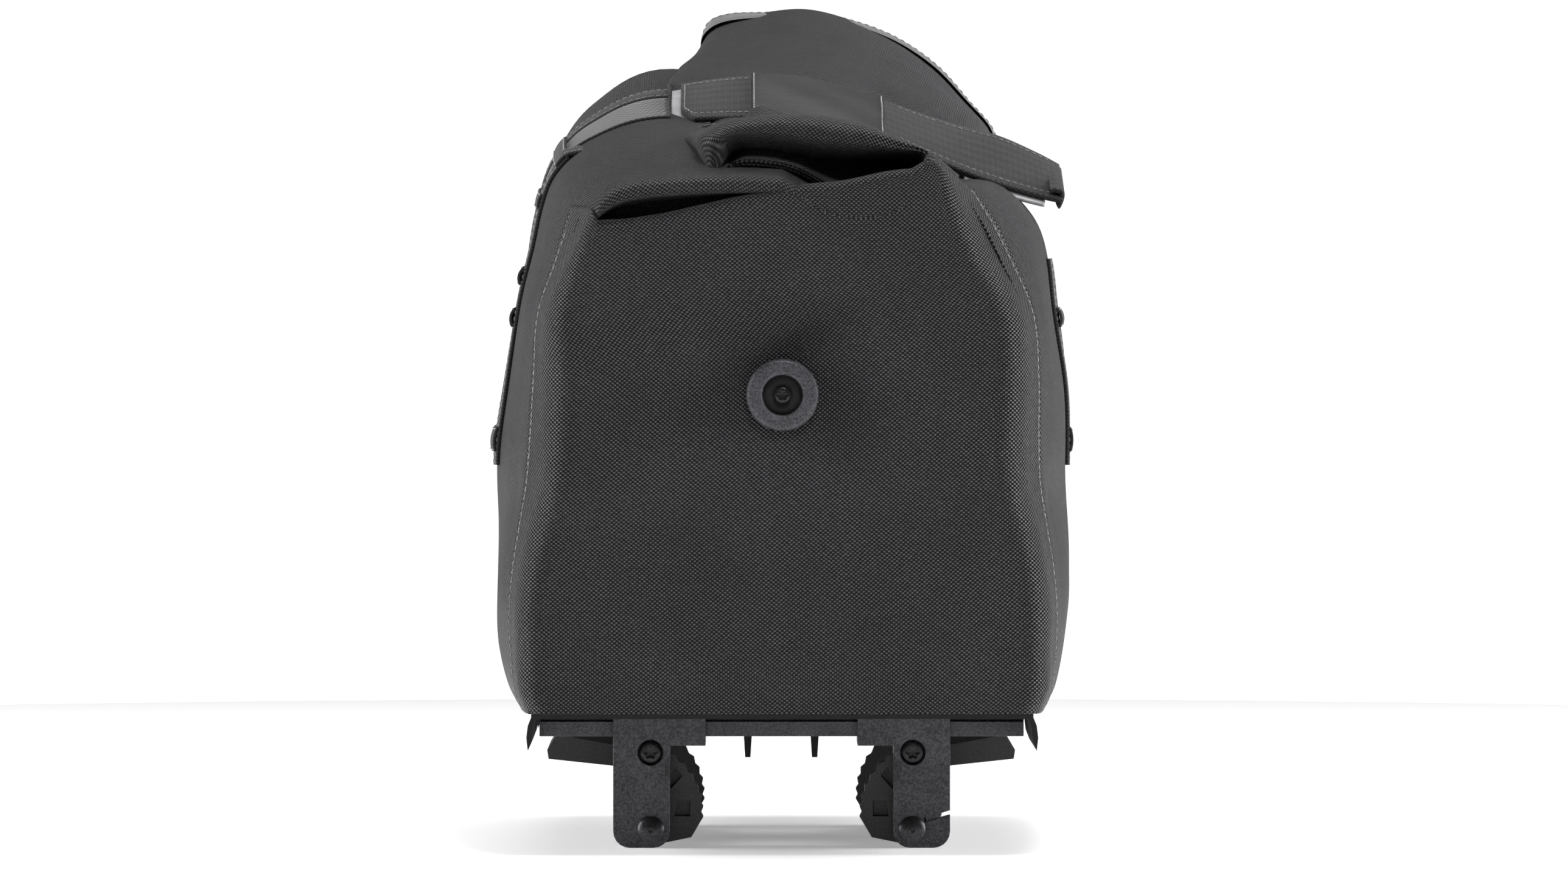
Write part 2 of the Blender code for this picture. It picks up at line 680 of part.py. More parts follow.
def base_screw(end, side):
    """Pan head on the inner board, shank down into the rail."""
    centre = (SIDES[side] * BASE_SCREW_X, ENDS[end] * RAIL_Y)
    seat = FLOOR_Z + FABRIC + GAP + BOARD + GAP
    name = "_".join((end, side, "base_screw"))
    head = rod(name, centre, 0.0040, (seat, seat + 0.0024), STEEL, axis="Z", segments=16)
    length = (RAIL_BOTTOM_Z + 0.0020, seat + 0.001)
    shank = rod("shank", centre, BASE_SCREW_RADIUS, length, axis="Z", segments=16)
    socket = rod("socket", centre, 0.0014, (seat + 0.0010, seat + 0.004), axis="Z", segments=6)
    join(head, shank)
    cut(head, socket)


base_plate()
for end in ENDS:
    rail(end)
    for side in SIDES:
        base_screw(end, side)


# Rack hooks: a claw round the rail, a stem that hangs outside the rack tube, and a raised clamp boss


def hook(end, side):
    sign, across = ENDS[end], SIDES[side]
    face = HOOK_FACE_Y
    stem_face = face - HOOK_STEP
    stem_back = stem_face - HOOK_STEM_THICK
    claw_back = RAIL_Y - RAIL_HALF_LIP - HOOK_BACK_WALL
    claw = [
        (HOOK_INNER_X, HOOK_SEAT_Z),
        (HOOK_OUTER_X, HOOK_SEAT_Z),
        *arc((HOOK_OUTER_X - 0.003, HOOK_TOP_Z - 0.003), 0.003, 0, 90, 4),
        *arc((HOOK_INNER_X + 0.0025, HOOK_TOP_Z - 0.0025), 0.0025, 90, 180, 4),
    ]
    name = "_".join((end, side, "hook"))
    body = prism(name, mirrored(claw, across), (sign * face, sign * claw_back))
    stem = [
        (HOOK_STEM_X, HOOK_SEAT_Z + 0.002),
        *arc((HOOK_STEM_X + HOOK_CORNER, HOOK_CORNER), HOOK_CORNER, 180, 270, 6),
        *arc((HOOK_OUTER_X - HOOK_CORNER, HOOK_CORNER), HOOK_CORNER, 270, 360, 6),
        (HOOK_OUTER_X, HOOK_SEAT_Z + 0.002),
    ]
    join(body, prism("stem", mirrored(stem, across), (sign * stem_face, sign * stem_back)))
    boss = [
        (HOOK_STEM_X, CLAMP_Z - 0.0004),
        (HOOK_STEM_X + 0.0020, CLAMP_Z - 0.0039),
        (HOOK_STEM_X + 0.0025, CLAMP_Z - 0.0114),
        (CLAMP_X + 0.0053, CLAMP_Z - 0.0114),
        (CLAMP_X + 0.0103, CLAMP_Z - 0.0044),
        (HOOK_OUTER_X, CLAMP_Z - 0.0029),
        (HOOK_OUTER_X, HOOK_SEAT_Z + 0.001),
        (HOOK_STEM_X, HOOK_SEAT_Z + 0.001),
    ]
    join(body, prism("boss", mirrored(boss, across), (sign * face, sign * (stem_back + 0.001))))
    lip = RAIL_HALF_LIP + GAP
    neck = RAIL_HALF_NECK + GAP
    wide = (across * (HOOK_INNER_X - 0.01), across * (HOOK_OUTER_X + 0.01))
    channel = (
        (wide[0], sign * (RAIL_Y - lip), RAIL_BOTTOM_Z - GAP),
        (wide[1], sign * (RAIL_Y + lip), RAIL_LIP_TOP_Z + GAP),
    )
    slot = (
        (wide[0], sign * (RAIL_Y - neck), RAIL_LIP_TOP_Z),
        (wide[1], sign * (RAIL_Y + neck), HOOK_TOP_Z + 0.01),
    )
    cut(body, box("channel", *channel), box("neck_slot", *slot))
    clamp = (across * CLAMP_X, CLAMP_Z)
    recess = (sign * (face - CLAMP_RECESS), sign * (face + 0.01))
    half_nut = NUT_SIDE / 2 + GAP
    pocket = (
        (clamp[0] - half_nut, sign * (stem_back - 0.01), CLAMP_Z - half_nut),
        (clamp[0] + half_nut, sign * (stem_back + NUT_THICK + 2 * GAP), CLAMP_Z + half_nut),
    )
    cut(
        body,
        rod("head_recess", clamp, CLAMP_HEAD_RADIUS + 0.0007, recess),
        rod("clamp_hole", clamp, CLAMP_RADIUS + RUNNING, (sign * (stem_back - 0.01), sign * (face + 0.01))),
        box("nut_pocket", *pocket),
        rod(
            "shaft_hole",
            (across * SHAFT_X, SHAFT_Z),
            SHAFT_RADIUS + RUNNING,
            (sign * (stem_back - 0.01), sign * (face + 0.01)),
        ),
    )
    if sign * across < 0:
        slit = [(0.0049, 0.0029), (0.0199, 0.0074), (0.0199, 0.0094), (0.0049, 0.0049)]
        slit = [(SHAFT_X + x, SHAFT_Z + z) for x, z in slit]
        cut(body, prism("slit", mirrored(slit, across), (sign * (stem_back - 0.01), sign * (face + 0.01))))
    return body


def clamp_screw(end, side):
    """Socket head against the recess floor, shank through to the square nut."""
    sign = ENDS[end]
    seat = HOOK_FACE_Y - CLAMP_RECESS + GAP
    tail = HOOK_FACE_Y - HOOK_STEP - HOOK_STEM_THICK + GAP - seat
    profile = [
        (0, 0.0018),
        (0.0022, 0.0018),
        (0.0022, 0.0045),
        (CLAMP_HEAD_RADIUS - 0.0005, 0.0045),
        (CLAMP_HEAD_RADIUS, 0.0040),
        (CLAMP_HEAD_RADIUS, 0),
        (CLAMP_RADIUS, 0),
        (CLAMP_RADIUS, tail),
        (0, tail),
    ]
    name = "_".join((end, side, "clamp_screw"))
    turned(name, profile, (SIDES[side] * CLAMP_X, CLAMP_Z), sign * seat, sign, STEEL, steps=24)


def clamp_nut(end, side):
    sign = ENDS[end]
    near = HOOK_FACE_Y - HOOK_STEP - HOOK_STEM_THICK + GAP
    x = SIDES[side] * CLAMP_X
    half = NUT_SIDE / 2
    nut = box(
        "_".join((end, side, "clamp_nut")),
        (x - half, sign * near, CLAMP_Z - half),
        (x + half, sign * (near + NUT_THICK), CLAMP_Z + half),
        STEEL,
    )
    ends = (sign * (near - 0.01), sign * (near + 0.01))
    cut(nut, rod("thread", (x, CLAMP_Z), CLAMP_RADIUS + RUNNING, ends, segments=16))


for end in ENDS:
    for side in SIDES:
        hook(end, side)
        clamp_screw(end, side)
        clamp_nut(end, side)


# Release gear on each side: shaft with domed ends, two jaws, lever and spring between the hooks

JAW_FACE_Y = HOOK_FACE_Y - HOOK_STEP - HOOK_STEM_THICK - GAP
JAW_BACK_Y = JAW_FACE_Y - JAW_THICK


def shaft(side):
    reach = HOOK_FACE_Y - HOOK_STEP + GAP
    dome = SHAFT_RADIUS + SHAFT_RIM
    top = [(0, SHAFT_DOME - 0.0008), (0.0009, SHAFT_DOME - 0.0008), (0.0009, SHAFT_DOME)]
    rim = [(dome * math.sin(a), SHAFT_DOME * math.cos(a)) for a in np.radians((35, 60, 80))]
    half = [(radius, reach + height) for radius, height in top + rim]
    profile = half + [(dome, reach), (SHAFT_RADIUS, reach), (SHAFT_RADIUS, -reach), (dome, -reach)]
    profile += [(radius, -depth) for radius, depth in reversed(half)]
    turned(side + "_release_shaft", profile, (SIDES[side] * SHAFT_X, SHAFT_Z), 0, -1, STEEL, steps=20)


def jaw_outline():
    """Toothed outer edge on an arc, straight back edge, round foot about the shaft."""
    teeth = []
    for angle in np.linspace(8, 78, 15):
        bump = 0.0007 if len(teeth) % 2 else -0.0004
        radius = JAW_HUB_RADIUS + 0.0138 + 0.0125 * (angle / 78) ** 1.3 + bump
        turn = math.radians(180 - angle)
        teeth.append((SHAFT_X + radius * math.cos(turn), SHAFT_Z + radius * math.sin(turn)))
    foot = arc((SHAFT_X, SHAFT_Z), JAW_HUB_RADIUS, 20, -110, 9)
    heel = (SHAFT_X - JAW_HUB_RADIUS - 0.0100, SHAFT_Z - 0.0036)
    return [(SHAFT_X + 0.0010, SHAFT_Z + 0.0300), *foot, heel, *teeth]


def jaw(end, side):
    sign, across = ENDS[end], SIDES[side]
    pivot = (across * SHAFT_X, 0, SHAFT_Z)
    name = "_".join((end, side, "jaw"))
    depth = (sign * JAW_FACE_Y, sign * JAW_BACK_Y)
    body = prism(name, mirrored(jaw_outline(), across), depth, BLACK_PLASTIC, pivot)
    bore = (sign * (JAW_BACK_Y - 0.01), sign * (JAW_FACE_Y + 0.01))
    cut(body, rod("jaw_bore", (across * SHAFT_X, SHAFT_Z), SHAFT_RADIUS + RUNNING, bore))
    pockets = (
        [(-0.0131, 0.0224), (-0.0103, 0.0259), (-0.0073, 0.0224), (-0.0081, 0.0169)],
        [(-0.0165, 0.0054), (-0.0165, 0.0119), (-0.0111, 0.0119), (-0.0099, 0.0054)],
    )
    for corners in pockets:
        outline = [(SHAFT_X + x, SHAFT_Z + z) for x, z in corners]
        depth = (sign * (JAW_FACE_Y - 0.0030), sign * (JAW_FACE_Y + 0.01))
        cut(body, prism("jaw_pocket", mirrored(outline, across), depth))
    return body


def lever(side):
    """Hub round the shaft, a riser, and a wide paddle that slants up and outwards."""
    across = SIDES[side]
    centre = (across * SHAFT_X, SHAFT_Z)
    hub_reach = JAW_BACK_Y - LEVER_SETBACK
    name = side + "_release_lever"
    body = rod(
        name, centre, LEVER_HUB_RADIUS, (-hub_reach, hub_reach), MOULDED, pivot=(centre[0], 0, centre[1])
    )
    under = RAIL_BOTTOM_Z - 0.0012
    inner, outer = HOOK_OUTER_X - 0.0010, RAIL_HALF_LENGTH - 0.0024
    riser = [
        (SHAFT_X - 0.0051, SHAFT_Z + 0.0004),
        (SHAFT_X + 0.0049, SHAFT_Z + 0.0004),
        (SHAFT_X + 0.0100, under - 0.0170),
        (inner + 0.0020, under - 0.0132),
        (inner + 0.0020, under - 0.0044),
        (SHAFT_X + 0.0039, under - 0.0088),
    ]
    paddle = [
        (inner - 0.0060, under - 0.0170),
        (inner + 0.0010, under - 0.0134),
        (outer - 0.0006, under - 0.0104),
        (outer, under - 0.0066),
        (outer - 0.0041, under),
        (inner, under - 0.0046),
    ]
    join(
        body,
        prism("riser", mirrored(riser, across), (-LEVER_HALF_WIDTH / 2, LEVER_HALF_WIDTH / 2)),
        prism("paddle", mirrored(paddle, across), (-LEVER_HALF_WIDTH, LEVER_HALF_WIDTH)),
    )
    cut(body, rod("lever_bore", centre, SHAFT_RADIUS + RUNNING, (-hub_reach - 0.01, hub_reach + 0.01)))
    return body


def spring(side):
    """Torsion spring coiled loosely round the shaft, between the lever's hub and the front jaw."""
    room = (JAW_BACK_Y - LEVER_SETBACK + 0.0010, JAW_BACK_Y - 0.0010)
    points_each = 10
    count = SPRING_TURNS * points_each + 1
    curve = bpy.data.curves.new(side + "_torsion_spring", "CURVE")
    curve.dimensions = "3D"
    curve.bevel_depth = SPRING_WIRE
    curve.bevel_resolution = 1
    curve.use_fill_caps = True
    line = curve.splines.new("POLY")
    line.points.add(count - 1)
    radius = SHAFT_RADIUS + 0.0015
    for number, point in enumerate(line.points):
        turn = 2 * math.pi * number / points_each
        along = room[0] + (room[1] - room[0]) * number / (count - 1)
        point.co = (radius * math.cos(turn), -along, radius * math.sin(turn), 1)
    obj = bpy.data.objects.new(side + "_torsion_spring", curve)
    obj.location = (SIDES[side] * SHAFT_X, 0, SHAFT_Z)
    curve.materials.append(STEEL)
    PARTS.objects.link(obj)


for side in SIDES:
    shaft(side)
    lever(side)
    spring(side)
    for end in ENDS:
        jaw(end, side)
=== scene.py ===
import json
import math

import bmesh
import bpy
import numpy as np
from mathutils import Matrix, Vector


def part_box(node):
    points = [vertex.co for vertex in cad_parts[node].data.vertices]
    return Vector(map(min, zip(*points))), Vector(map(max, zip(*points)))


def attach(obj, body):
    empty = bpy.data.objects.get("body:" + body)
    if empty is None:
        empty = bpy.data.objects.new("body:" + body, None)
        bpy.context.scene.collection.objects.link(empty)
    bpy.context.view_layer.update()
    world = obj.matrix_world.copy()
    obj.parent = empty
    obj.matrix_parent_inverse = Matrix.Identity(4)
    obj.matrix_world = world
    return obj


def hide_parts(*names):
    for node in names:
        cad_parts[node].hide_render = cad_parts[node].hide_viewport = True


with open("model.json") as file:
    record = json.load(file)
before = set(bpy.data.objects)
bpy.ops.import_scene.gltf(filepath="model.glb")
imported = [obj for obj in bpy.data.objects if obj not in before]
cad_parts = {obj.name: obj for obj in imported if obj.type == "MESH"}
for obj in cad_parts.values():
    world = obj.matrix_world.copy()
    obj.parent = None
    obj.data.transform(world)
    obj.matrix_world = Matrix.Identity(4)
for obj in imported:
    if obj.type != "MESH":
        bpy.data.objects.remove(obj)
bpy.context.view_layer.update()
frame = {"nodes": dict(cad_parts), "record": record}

# ---- Studio ----
# The bag stands on a pale sheet under two tall soft lights at its flanks and one above and behind,
# with only a weak light from the front, so the front cloth stays dark and the edges are drawn by light.
scene = bpy.context.scene
hook_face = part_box("front_left_hook")[0].y
distance, seen_width = 4.0, 0.6595
eye = Vector((-0.017, hook_face - distance, 0.243))
target = Vector((0.001, hook_face, 0.1715))
camera = bpy.data.objects.new("camera", bpy.data.cameras.new("camera"))
camera.location = eye
camera.rotation_mode = "QUATERNION"
camera.rotation_quaternion = (target - eye).to_track_quat("-Z", "Y")
camera.data.sensor_width = 36
camera.data.lens = 36 * (target - eye).length / seen_width
camera.data.clip_end = 50
scene.collection.objects.link(camera)
scene.camera = camera
scene.view_settings.view_transform = "Standard"

world = bpy.data.worlds.new("studio")
scene.world = world
world.use_nodes = True
sky = world.node_tree.nodes["Background"]
sky.inputs["Color"].default_value = (1.0, 1.0, 1.0, 1)
sky.inputs["Strength"].default_value = 0.08


def soft_light(name, place, aim, size, power):
    """Rectangular area light at a place, turned towards a point; size is (width, height)."""
    lamp = bpy.data.lights.new(name, "AREA")
    lamp.shape, lamp.size, lamp.size_y = "RECTANGLE", *size
    lamp.energy = power
    obj = bpy.data.objects.new(name, lamp)
    obj.location = place
    obj.rotation_mode = "QUATERNION"
    obj.rotation_quaternion = (Vector(aim) - Vector(place)).to_track_quat("-Z", "Y")
    scene.collection.objects.link(obj)


soft_light("left_flank", (-1.5, 0.1, 0.40), (0, 0, 0.18), (1.0, 1.3), 42)
soft_light("right_flank", (1.5, 0.1, 0.40), (0, 0, 0.18), (1.0, 1.3), 46)
soft_light("overhead", (0.0, 0.35, 1.5), (0, -0.05, 0.2), (1.2, 0.7), 12)
soft_light("front_high", (0.25, -1.2, 1.7), (0, -0.1, 0.2), (0.3, 0.3), 15)


def glowing_paper(name, glow, roughness):
    """Pale paper that also gives off a little light by itself."""
    paper = bpy.data.materials.new(name)
    paper.use_nodes = True
    sockets = paper.node_tree.nodes["Principled BSDF"].inputs
    sockets["Base Color"].default_value = (0.9, 0.9, 0.9, 1)
    sockets["Roughness"].default_value = roughness
    sockets["Emission Color"].default_value = (1, 1, 1, 1)
    sockets["Emission Strength"].default_value = glow
    return paper


floor_mesh = bpy.data.meshes.new("floor")
reach = 6.0
floor_corners = [(-reach, -reach, 0), (reach, -reach, 0), (reach, reach, 0), (-reach, reach, 0)]
floor_mesh.from_pydata(floor_corners, [], [(0, 1, 2, 3)])
floor = bpy.data.objects.new("floor", floor_mesh)
scene.collection.objects.link(floor)
floor_mesh.materials.append(glowing_paper("pale_paper", 0.28, 0.9))

# The backdrop is a white ring that lies on the floor round the bag, and a round wall beyond every view.
ring_radii = np.array([1.3, 12.0, 12.0])
ring_heights = np.array([0.001, 0.001, 12.0])
ring_steps = 96
ring_turns = 2 * math.pi * np.arange(ring_steps) / ring_steps
ring_points = np.stack([
    np.outer(ring_radii, np.cos(ring_turns)),
    np.outer(ring_radii, np.sin(ring_turns)),
    np.outer(ring_heights, np.ones(ring_steps))], axis=-1).reshape(-1, 3)
ring_this = np.arange(ring_steps)
ring_next = (ring_this + 1) % ring_steps
ring_quads = np.stack([ring_this, ring_this + ring_steps, ring_next + ring_steps, ring_next], axis=-1)
ring_faces = np.concatenate([ring_quads + row * ring_steps for row in range(len(ring_radii) - 1)])
wall_mesh = bpy.data.meshes.new("backdrop")
wall_mesh.from_pydata(ring_points.tolist(), [], ring_faces.tolist())
wall = bpy.data.objects.new("backdrop", wall_mesh)
scene.collection.objects.link(wall)
wall.visible_glossy = wall.visible_diffuse = wall.visible_shadow = False
wall_mesh.materials.append(glowing_paper("lit_backdrop", 1.1, 0.5))

# ---- Coated cloth of the bag ----
# A coarse plain weave of charcoal polyester with a thin coating: each raised thread crossing catches the
# light as a small dot, by its shine and by a painted highlight in its colour, with painted shade in the gaps
# between threads, and the cloth turns paler where it is seen along its surface.


class Nodes:
    """A material's node tree, with short ways to add nodes and join them."""

    def __init__(self, name):
        """A new material with its Principled shader at hand."""
        self.material = bpy.data.materials.new(name)
        self.material.use_nodes = True
        self.tree = self.material.node_tree
        self.shader = self.tree.nodes["Principled BSDF"]

    def add(self, kind, inputs=(), **settings):
        """New node; an input given as a socket is joined, any other value is set."""
        node = self.tree.nodes.new(kind)
        for key, value in settings.items():
            setattr(node, key, value)
        for key, value in dict(inputs).items():
            if isinstance(value, bpy.types.NodeSocket):
                self.tree.links.new(value, node.inputs[key])
            else:
                node.inputs[key].default_value = value
        return node

    def here(self):
        """The piece's own Object coordinates."""
        return self.add("ShaderNodeTexCoord").outputs["Object"]

    def math(self, operation, *values):
        """One Math node on sockets or numbers."""
        node = self.add("ShaderNodeMath", operation=operation)
        for socket, value in zip(node.inputs, values):
            if isinstance(value, bpy.types.NodeSocket):
                self.tree.links.new(value, socket)
            else:
                socket.default_value = value
        return node.outputs[0]

    def weighed(self, first, share, second, other_share):
        """first times share plus second times other_share."""
        parts = self.math("MULTIPLY", first, share), self.math("MULTIPLY", second, other_share)
        return self.math("ADD", *parts)

    def noise(self, vector, scale, detail=2.0, roughness=0.5):
        """Noise texture, read as one number from 0 to 1."""
        inputs = {"Vector": vector, "Scale": scale, "Detail": detail, "Roughness": roughness}
        return self.add("ShaderNodeTexNoise", inputs).outputs["Fac"]

    def ramp(self, value, low, high, dark, light):
        """Colour that goes from dark to light as value goes from low to high."""
        node = self.add("ShaderNodeValToRGB", {"Fac": value})
        stops = node.color_ramp.elements
        stops[0].position, stops[1].position = low, high
        stops[0].color, stops[1].color = (*dark, 1), (*light, 1)
        return node.outputs["Color"]

    def plug(self, name, value):
        """Join a socket to the shader's input, or set a number or colour on it."""
        if isinstance(value, bpy.types.NodeSocket):
            self.tree.links.new(value, self.shader.inputs[name])
        else:
            self.shader.inputs[name].default_value = value

    def bump(self, height, depth, strength=1.0, **under):
        """Raise the surface by height times depth, on top of another bump given as Normal."""
        inputs = {"Height": height, "Distance": depth, "Strength": strength, **under}
        normal = self.add("ShaderNodeBump", inputs).outputs["Normal"]
        self.plug("Normal", normal)
        return normal


def woven(name, pitch, dark, light, depth, roughness=0.44, sheen=0.10, wear=0.25):
    """Plain weave on the piece's own UV map, which is in metres along and across the threads."""
    made = Nodes(name)
    place = made.add("ShaderNodeUVMap", uv_map="threads").outputs["UV"]
    split = made.add("ShaderNodeSeparateXYZ", {"Vector": place})
    rate, closer_weft = 2 * math.pi / pitch, 1.19
    warp = made.math("SINE", made.math("MULTIPLY", split.outputs["X"], rate))
    weft = made.math("SINE", made.math("MULTIPLY", split.outputs["Y"], rate * closer_weft))
    crossing = made.math("MULTIPLY", warp, weft)
    here = made.here()
    slub = made.noise(here, 900, 1.0)
    cloud = made.noise(here, 22, 4.0, 0.6)
    raised = made.math("ADD", crossing, made.math("MULTIPLY", made.math("SUBTRACT", slub, 0.5), 1.2))
    # The colour is lighter on the raised thread crossings as a painted highlight and darker between them as
    # painted shade; the cloud adds random tone.
    tone = made.weighed(raised, 0.5, cloud, wear)
    made.plug("Base Color", made.ramp(tone, -0.05 + 0.5 * wear, 0.85, dark, light))
    shine = made.math("MULTIPLY", made.math("MAXIMUM", crossing, 0.0), 0.9)
    made.plug("Specular IOR Level", made.math("ADD", 0.10, shine))
    rough = made.math("SUBTRACT", roughness + 0.12, made.math("MULTIPLY", cloud, 0.24))
    made.plug("Roughness", rough)
    made.plug("Sheen Weight", sheen)
    made.plug("Sheen Roughness", 0.45)
    made.bump(raised, depth)
    return made.material


bag_cloth = woven("charcoal_bag_cloth", 0.0020, (0.003, 0.003, 0.004), (0.135, 0.133, 0.146), 0.0009)


def sampled(points, at):
    """Smooth line through control points (..., n, d): a Catmull-Rom curve read at places 0 to n - 1.

    Between two points the position is the cubic that leaves each along the line between its neighbours.
    at is an array of places, or a count of evenly spaced ones.
    """
    n = points.shape[-2]
    if np.ndim(at) == 0:
        at = np.linspace(0, n - 1, at)
    start = np.minimum(at.astype(int), n - 2)
    f = (at - start)[:, None]
    before, a, b, after = (points[..., np.clip(start + k, 0, n - 1), :] for k in (-1, 0, 1, 2))
    pull_a, pull_b = (b - before) / 2, (after - a) / 2
    return (
        a * (2 * f**3 - 3 * f**2 + 1)
        + pull_a * (f**3 - 2 * f**2 + f)
        + b * (3 * f**2 - 2 * f**3)
        + pull_b * (f**3 - f**2)
    )


def ease(value, low, high):
    """0 below low, 1 above high, and a smooth cubic between."""
    share = np.clip((value - low) / (high - low), 0, 1)
    return share * share * (3 - 2 * share)


def ridge(value, centre, width):
    """Bell-shaped bump of height 1."""
    return np.exp(-(((value - centre) / width) ** 2))


def normals_of(points):
    """Unit normals of a grid of points: the cross product of its two directions."""
    rows, columns = np.gradient(points, axis=0), np.gradient(points, axis=1)
    normal = np.cross(columns, rows)
    return normal / np.maximum(np.linalg.norm(normal, axis=-1, keepdims=True), 1e-12)


def surface(name, points, finish, thickness=0.0, outward=None, around=False):
    """Mesh through a grid of points (rows, columns, 3), with a UV map in metres along the grid.

    U is the length along each row and V the length down each column, both from the grid's middle.
    The faces are turned to look along outward. A thickness is laid on the inner side by Solidify.
    """
    points = np.asarray(points, float)
    if around:
        points = np.concatenate([points, points[:, :1]], axis=1)
    rows, columns = points.shape[:2]
    run = np.linalg.norm(np.diff(points, axis=1), axis=-1)
    fall = np.linalg.norm(np.diff(points, axis=0), axis=-1)
    u = np.concatenate([np.zeros((rows, 1)), np.cumsum(run, axis=1)], axis=1)
    v = np.concatenate([np.zeros((1, columns)), np.cumsum(fall, axis=0)], axis=0)
    u = u - u[:, columns // 2 : columns // 2 + 1]
    v = v - v[rows // 2 : rows // 2 + 1]
    index = np.arange(rows * columns).reshape(rows, columns)
    if around:
        index[:, -1] = index[:, 0]
    grid = np.arange(rows * columns).reshape(rows, columns)

    def corners(table):
        """The four corners of every cell of a table of indices."""
        quads = [table[:-1, :-1], table[:-1, 1:], table[1:, 1:], table[1:, :-1]]
        return np.stack(quads, axis=-1).reshape(-1, 4)

    faces, loops = corners(index), corners(grid)
    flat = points.reshape(-1, 3)
    if outward == "tube":
        corner = flat[loops] - flat.mean(axis=0)
        facing = (corner[:, 0] * np.cross(corner[:, 1], corner[:, 2])).sum()
        facing += (corner[:, 0] * np.cross(corner[:, 2], corner[:, 3])).sum()
    else:
        facing = np.cross(flat[loops[:, 1]] - flat[loops[:, 0]], flat[loops[:, 2]] - flat[loops[:, 0]])
        facing = facing.sum(axis=0) @ np.array(outward, float)
    if facing < 0:
        faces, loops = faces[:, ::-1], loops[:, ::-1]
    mesh = bpy.data.meshes.new(name)
    mesh.from_pydata(points.reshape(-1, 3).tolist(), [], faces.tolist())
    layer = mesh.uv_layers.new(name="threads")
    uv = np.stack([u.reshape(-1), v.reshape(-1)], axis=-1)[loops.reshape(-1)]
    layer.data.foreach_set("uv", uv.astype(np.float32).reshape(-1))
    mesh.polygons.foreach_set("use_smooth", [True] * len(mesh.polygons))
    if around:
        shape = bmesh.new()
        shape.from_mesh(mesh)
        bmesh.ops.delete(shape, geom=[v for v in shape.verts if not v.link_faces], context="VERTS")
        bmesh.ops.remove_doubles(shape, verts=shape.verts, dist=1e-8)
        shape.to_mesh(mesh)
        shape.free()
    mesh.materials.append(finish)
    obj = bpy.data.objects.new(name, mesh)
    scene.collection.objects.link(obj)
    if thickness:
        wall = obj.modifiers.new("wall", "SOLIDIFY")
        wall.thickness = thickness
        wall.offset = -1
    return obj


floor_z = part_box("bottom_panel")[0].z
half_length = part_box("back_end_panel")[1].y
half_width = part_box("right_side_panel")[1].x
widest_z, shoulder_z = 0.140, 0.225
peak_y = 0.040
pinch_heights = [0.060, 0.085, 0.107, 0.1235, 0.145, 0.163, 0.195, 0.225]
pinches = [0.0060, 0.0113, 0.0120, 0.0150, 0.0210, 0.0245, 0.0215]


def side_reach(side, y, z):
    """Half width of the bag: the full width less a tuck, a sixth power of the share below widest_z,
    a square of the share above it, and a pinch that grows with the fourth power of y.
    """
    low = np.clip((widest_z - z) / (widest_z - floor_z), 0, 1)
    high = np.clip((z - widest_z) / (shoulder_z - widest_z), 0, 1)
    lean, last = (0.0100, 0.0150) if side == "left" else (0.0035, 0.0220)
    tuck = 0.0019 if side == "left" else 0.0012
    middle = half_width - tuck - 0.0100 * low**6 - lean * high**2
    return middle - np.interp(z, pinch_heights, [*pinches, last]) * np.abs(y / half_length) ** 4


def crown(y):
    """Share of the top's rise along the bag: 0 at the ends, 1 at peak_y."""
    near = np.clip((peak_y - y) / (peak_y + half_length), 0, 1) ** 1.2
    far = np.clip((y - peak_y) / (half_length - peak_y), 0, 1) ** 1.6
    return 1 - np.where(y < peak_y, near, far)


side_heights = np.array([floor_z + 0.0005, 0.070, 0.085, 0.102, 0.120, 0.138, 0.156, 0.175, 0.200])
shoulder = len(side_heights)
left_end = [(-0.0951, 0.225), (-0.0868, 0.2450), (-0.0775, 0.2655), (-0.0705, 0.2745), (-0.0580, 0.2792)]
left_end = np.array(left_end + [(-0.0260, 0.2812), (0.0000, 0.2808)])
left_middle = [(-0.1101, 0.225), (-0.1060, 0.2500), (-0.1025, 0.2720), (-0.0955, 0.2965), (-0.0805, 0.3160)]
left_middle = np.array(left_middle + [(-0.0520, 0.3305), (0.0000, 0.3240)])
right_end = [(0.0955, 0.225), (0.0820, 0.2480), (0.0715, 0.2660), (0.0610, 0.2790), (0.0400, 0.2690)]
right_end = np.array(right_end + [(0.0200, 0.2690), (0.0000, 0.2808)])
right_middle = [(0.1165, 0.225), (0.1135, 0.2480), (0.1060, 0.2680), (0.0900, 0.2820), (0.0600, 0.2960)]
right_middle = np.array(right_middle + [(0.0300, 0.3130), (0.0000, 0.3240)])


def wrap_line(side, y):
    """Outline across one half of the bag at each y: up the side, over the shoulder, to the middle."""
    y = np.atleast_1d(y)
    sign = -1 if side == "left" else 1
    end, middle = (left_end, left_middle) if side == "left" else (right_end, right_middle)
    across = (1 - np.abs(y / half_length) ** 4)[:, None]
    up = crown(y)[:, None]
    out = sign * side_reach(side, y[:, None], side_heights)
    wall = np.stack([out, np.broadcast_to(side_heights, out.shape)], axis=-1)
    rise = middle - end
    top = np.stack([end[:, 0] + rise[:, 0] * across, end[:, 1] + rise[:, 1] * up], axis=-1)
    return np.concatenate([wall, top], axis=1)


# ---- Main cloth ----
# One long piece of cloth goes up the left side, over the top and down the right side. Its two ends
# are sewn under the edges of the end cloths, and on top it folds under itself beside the roll.
seam_y = 0.153
fold_radius = 0.0036
corner_index = {"left": 11, "right": 12}


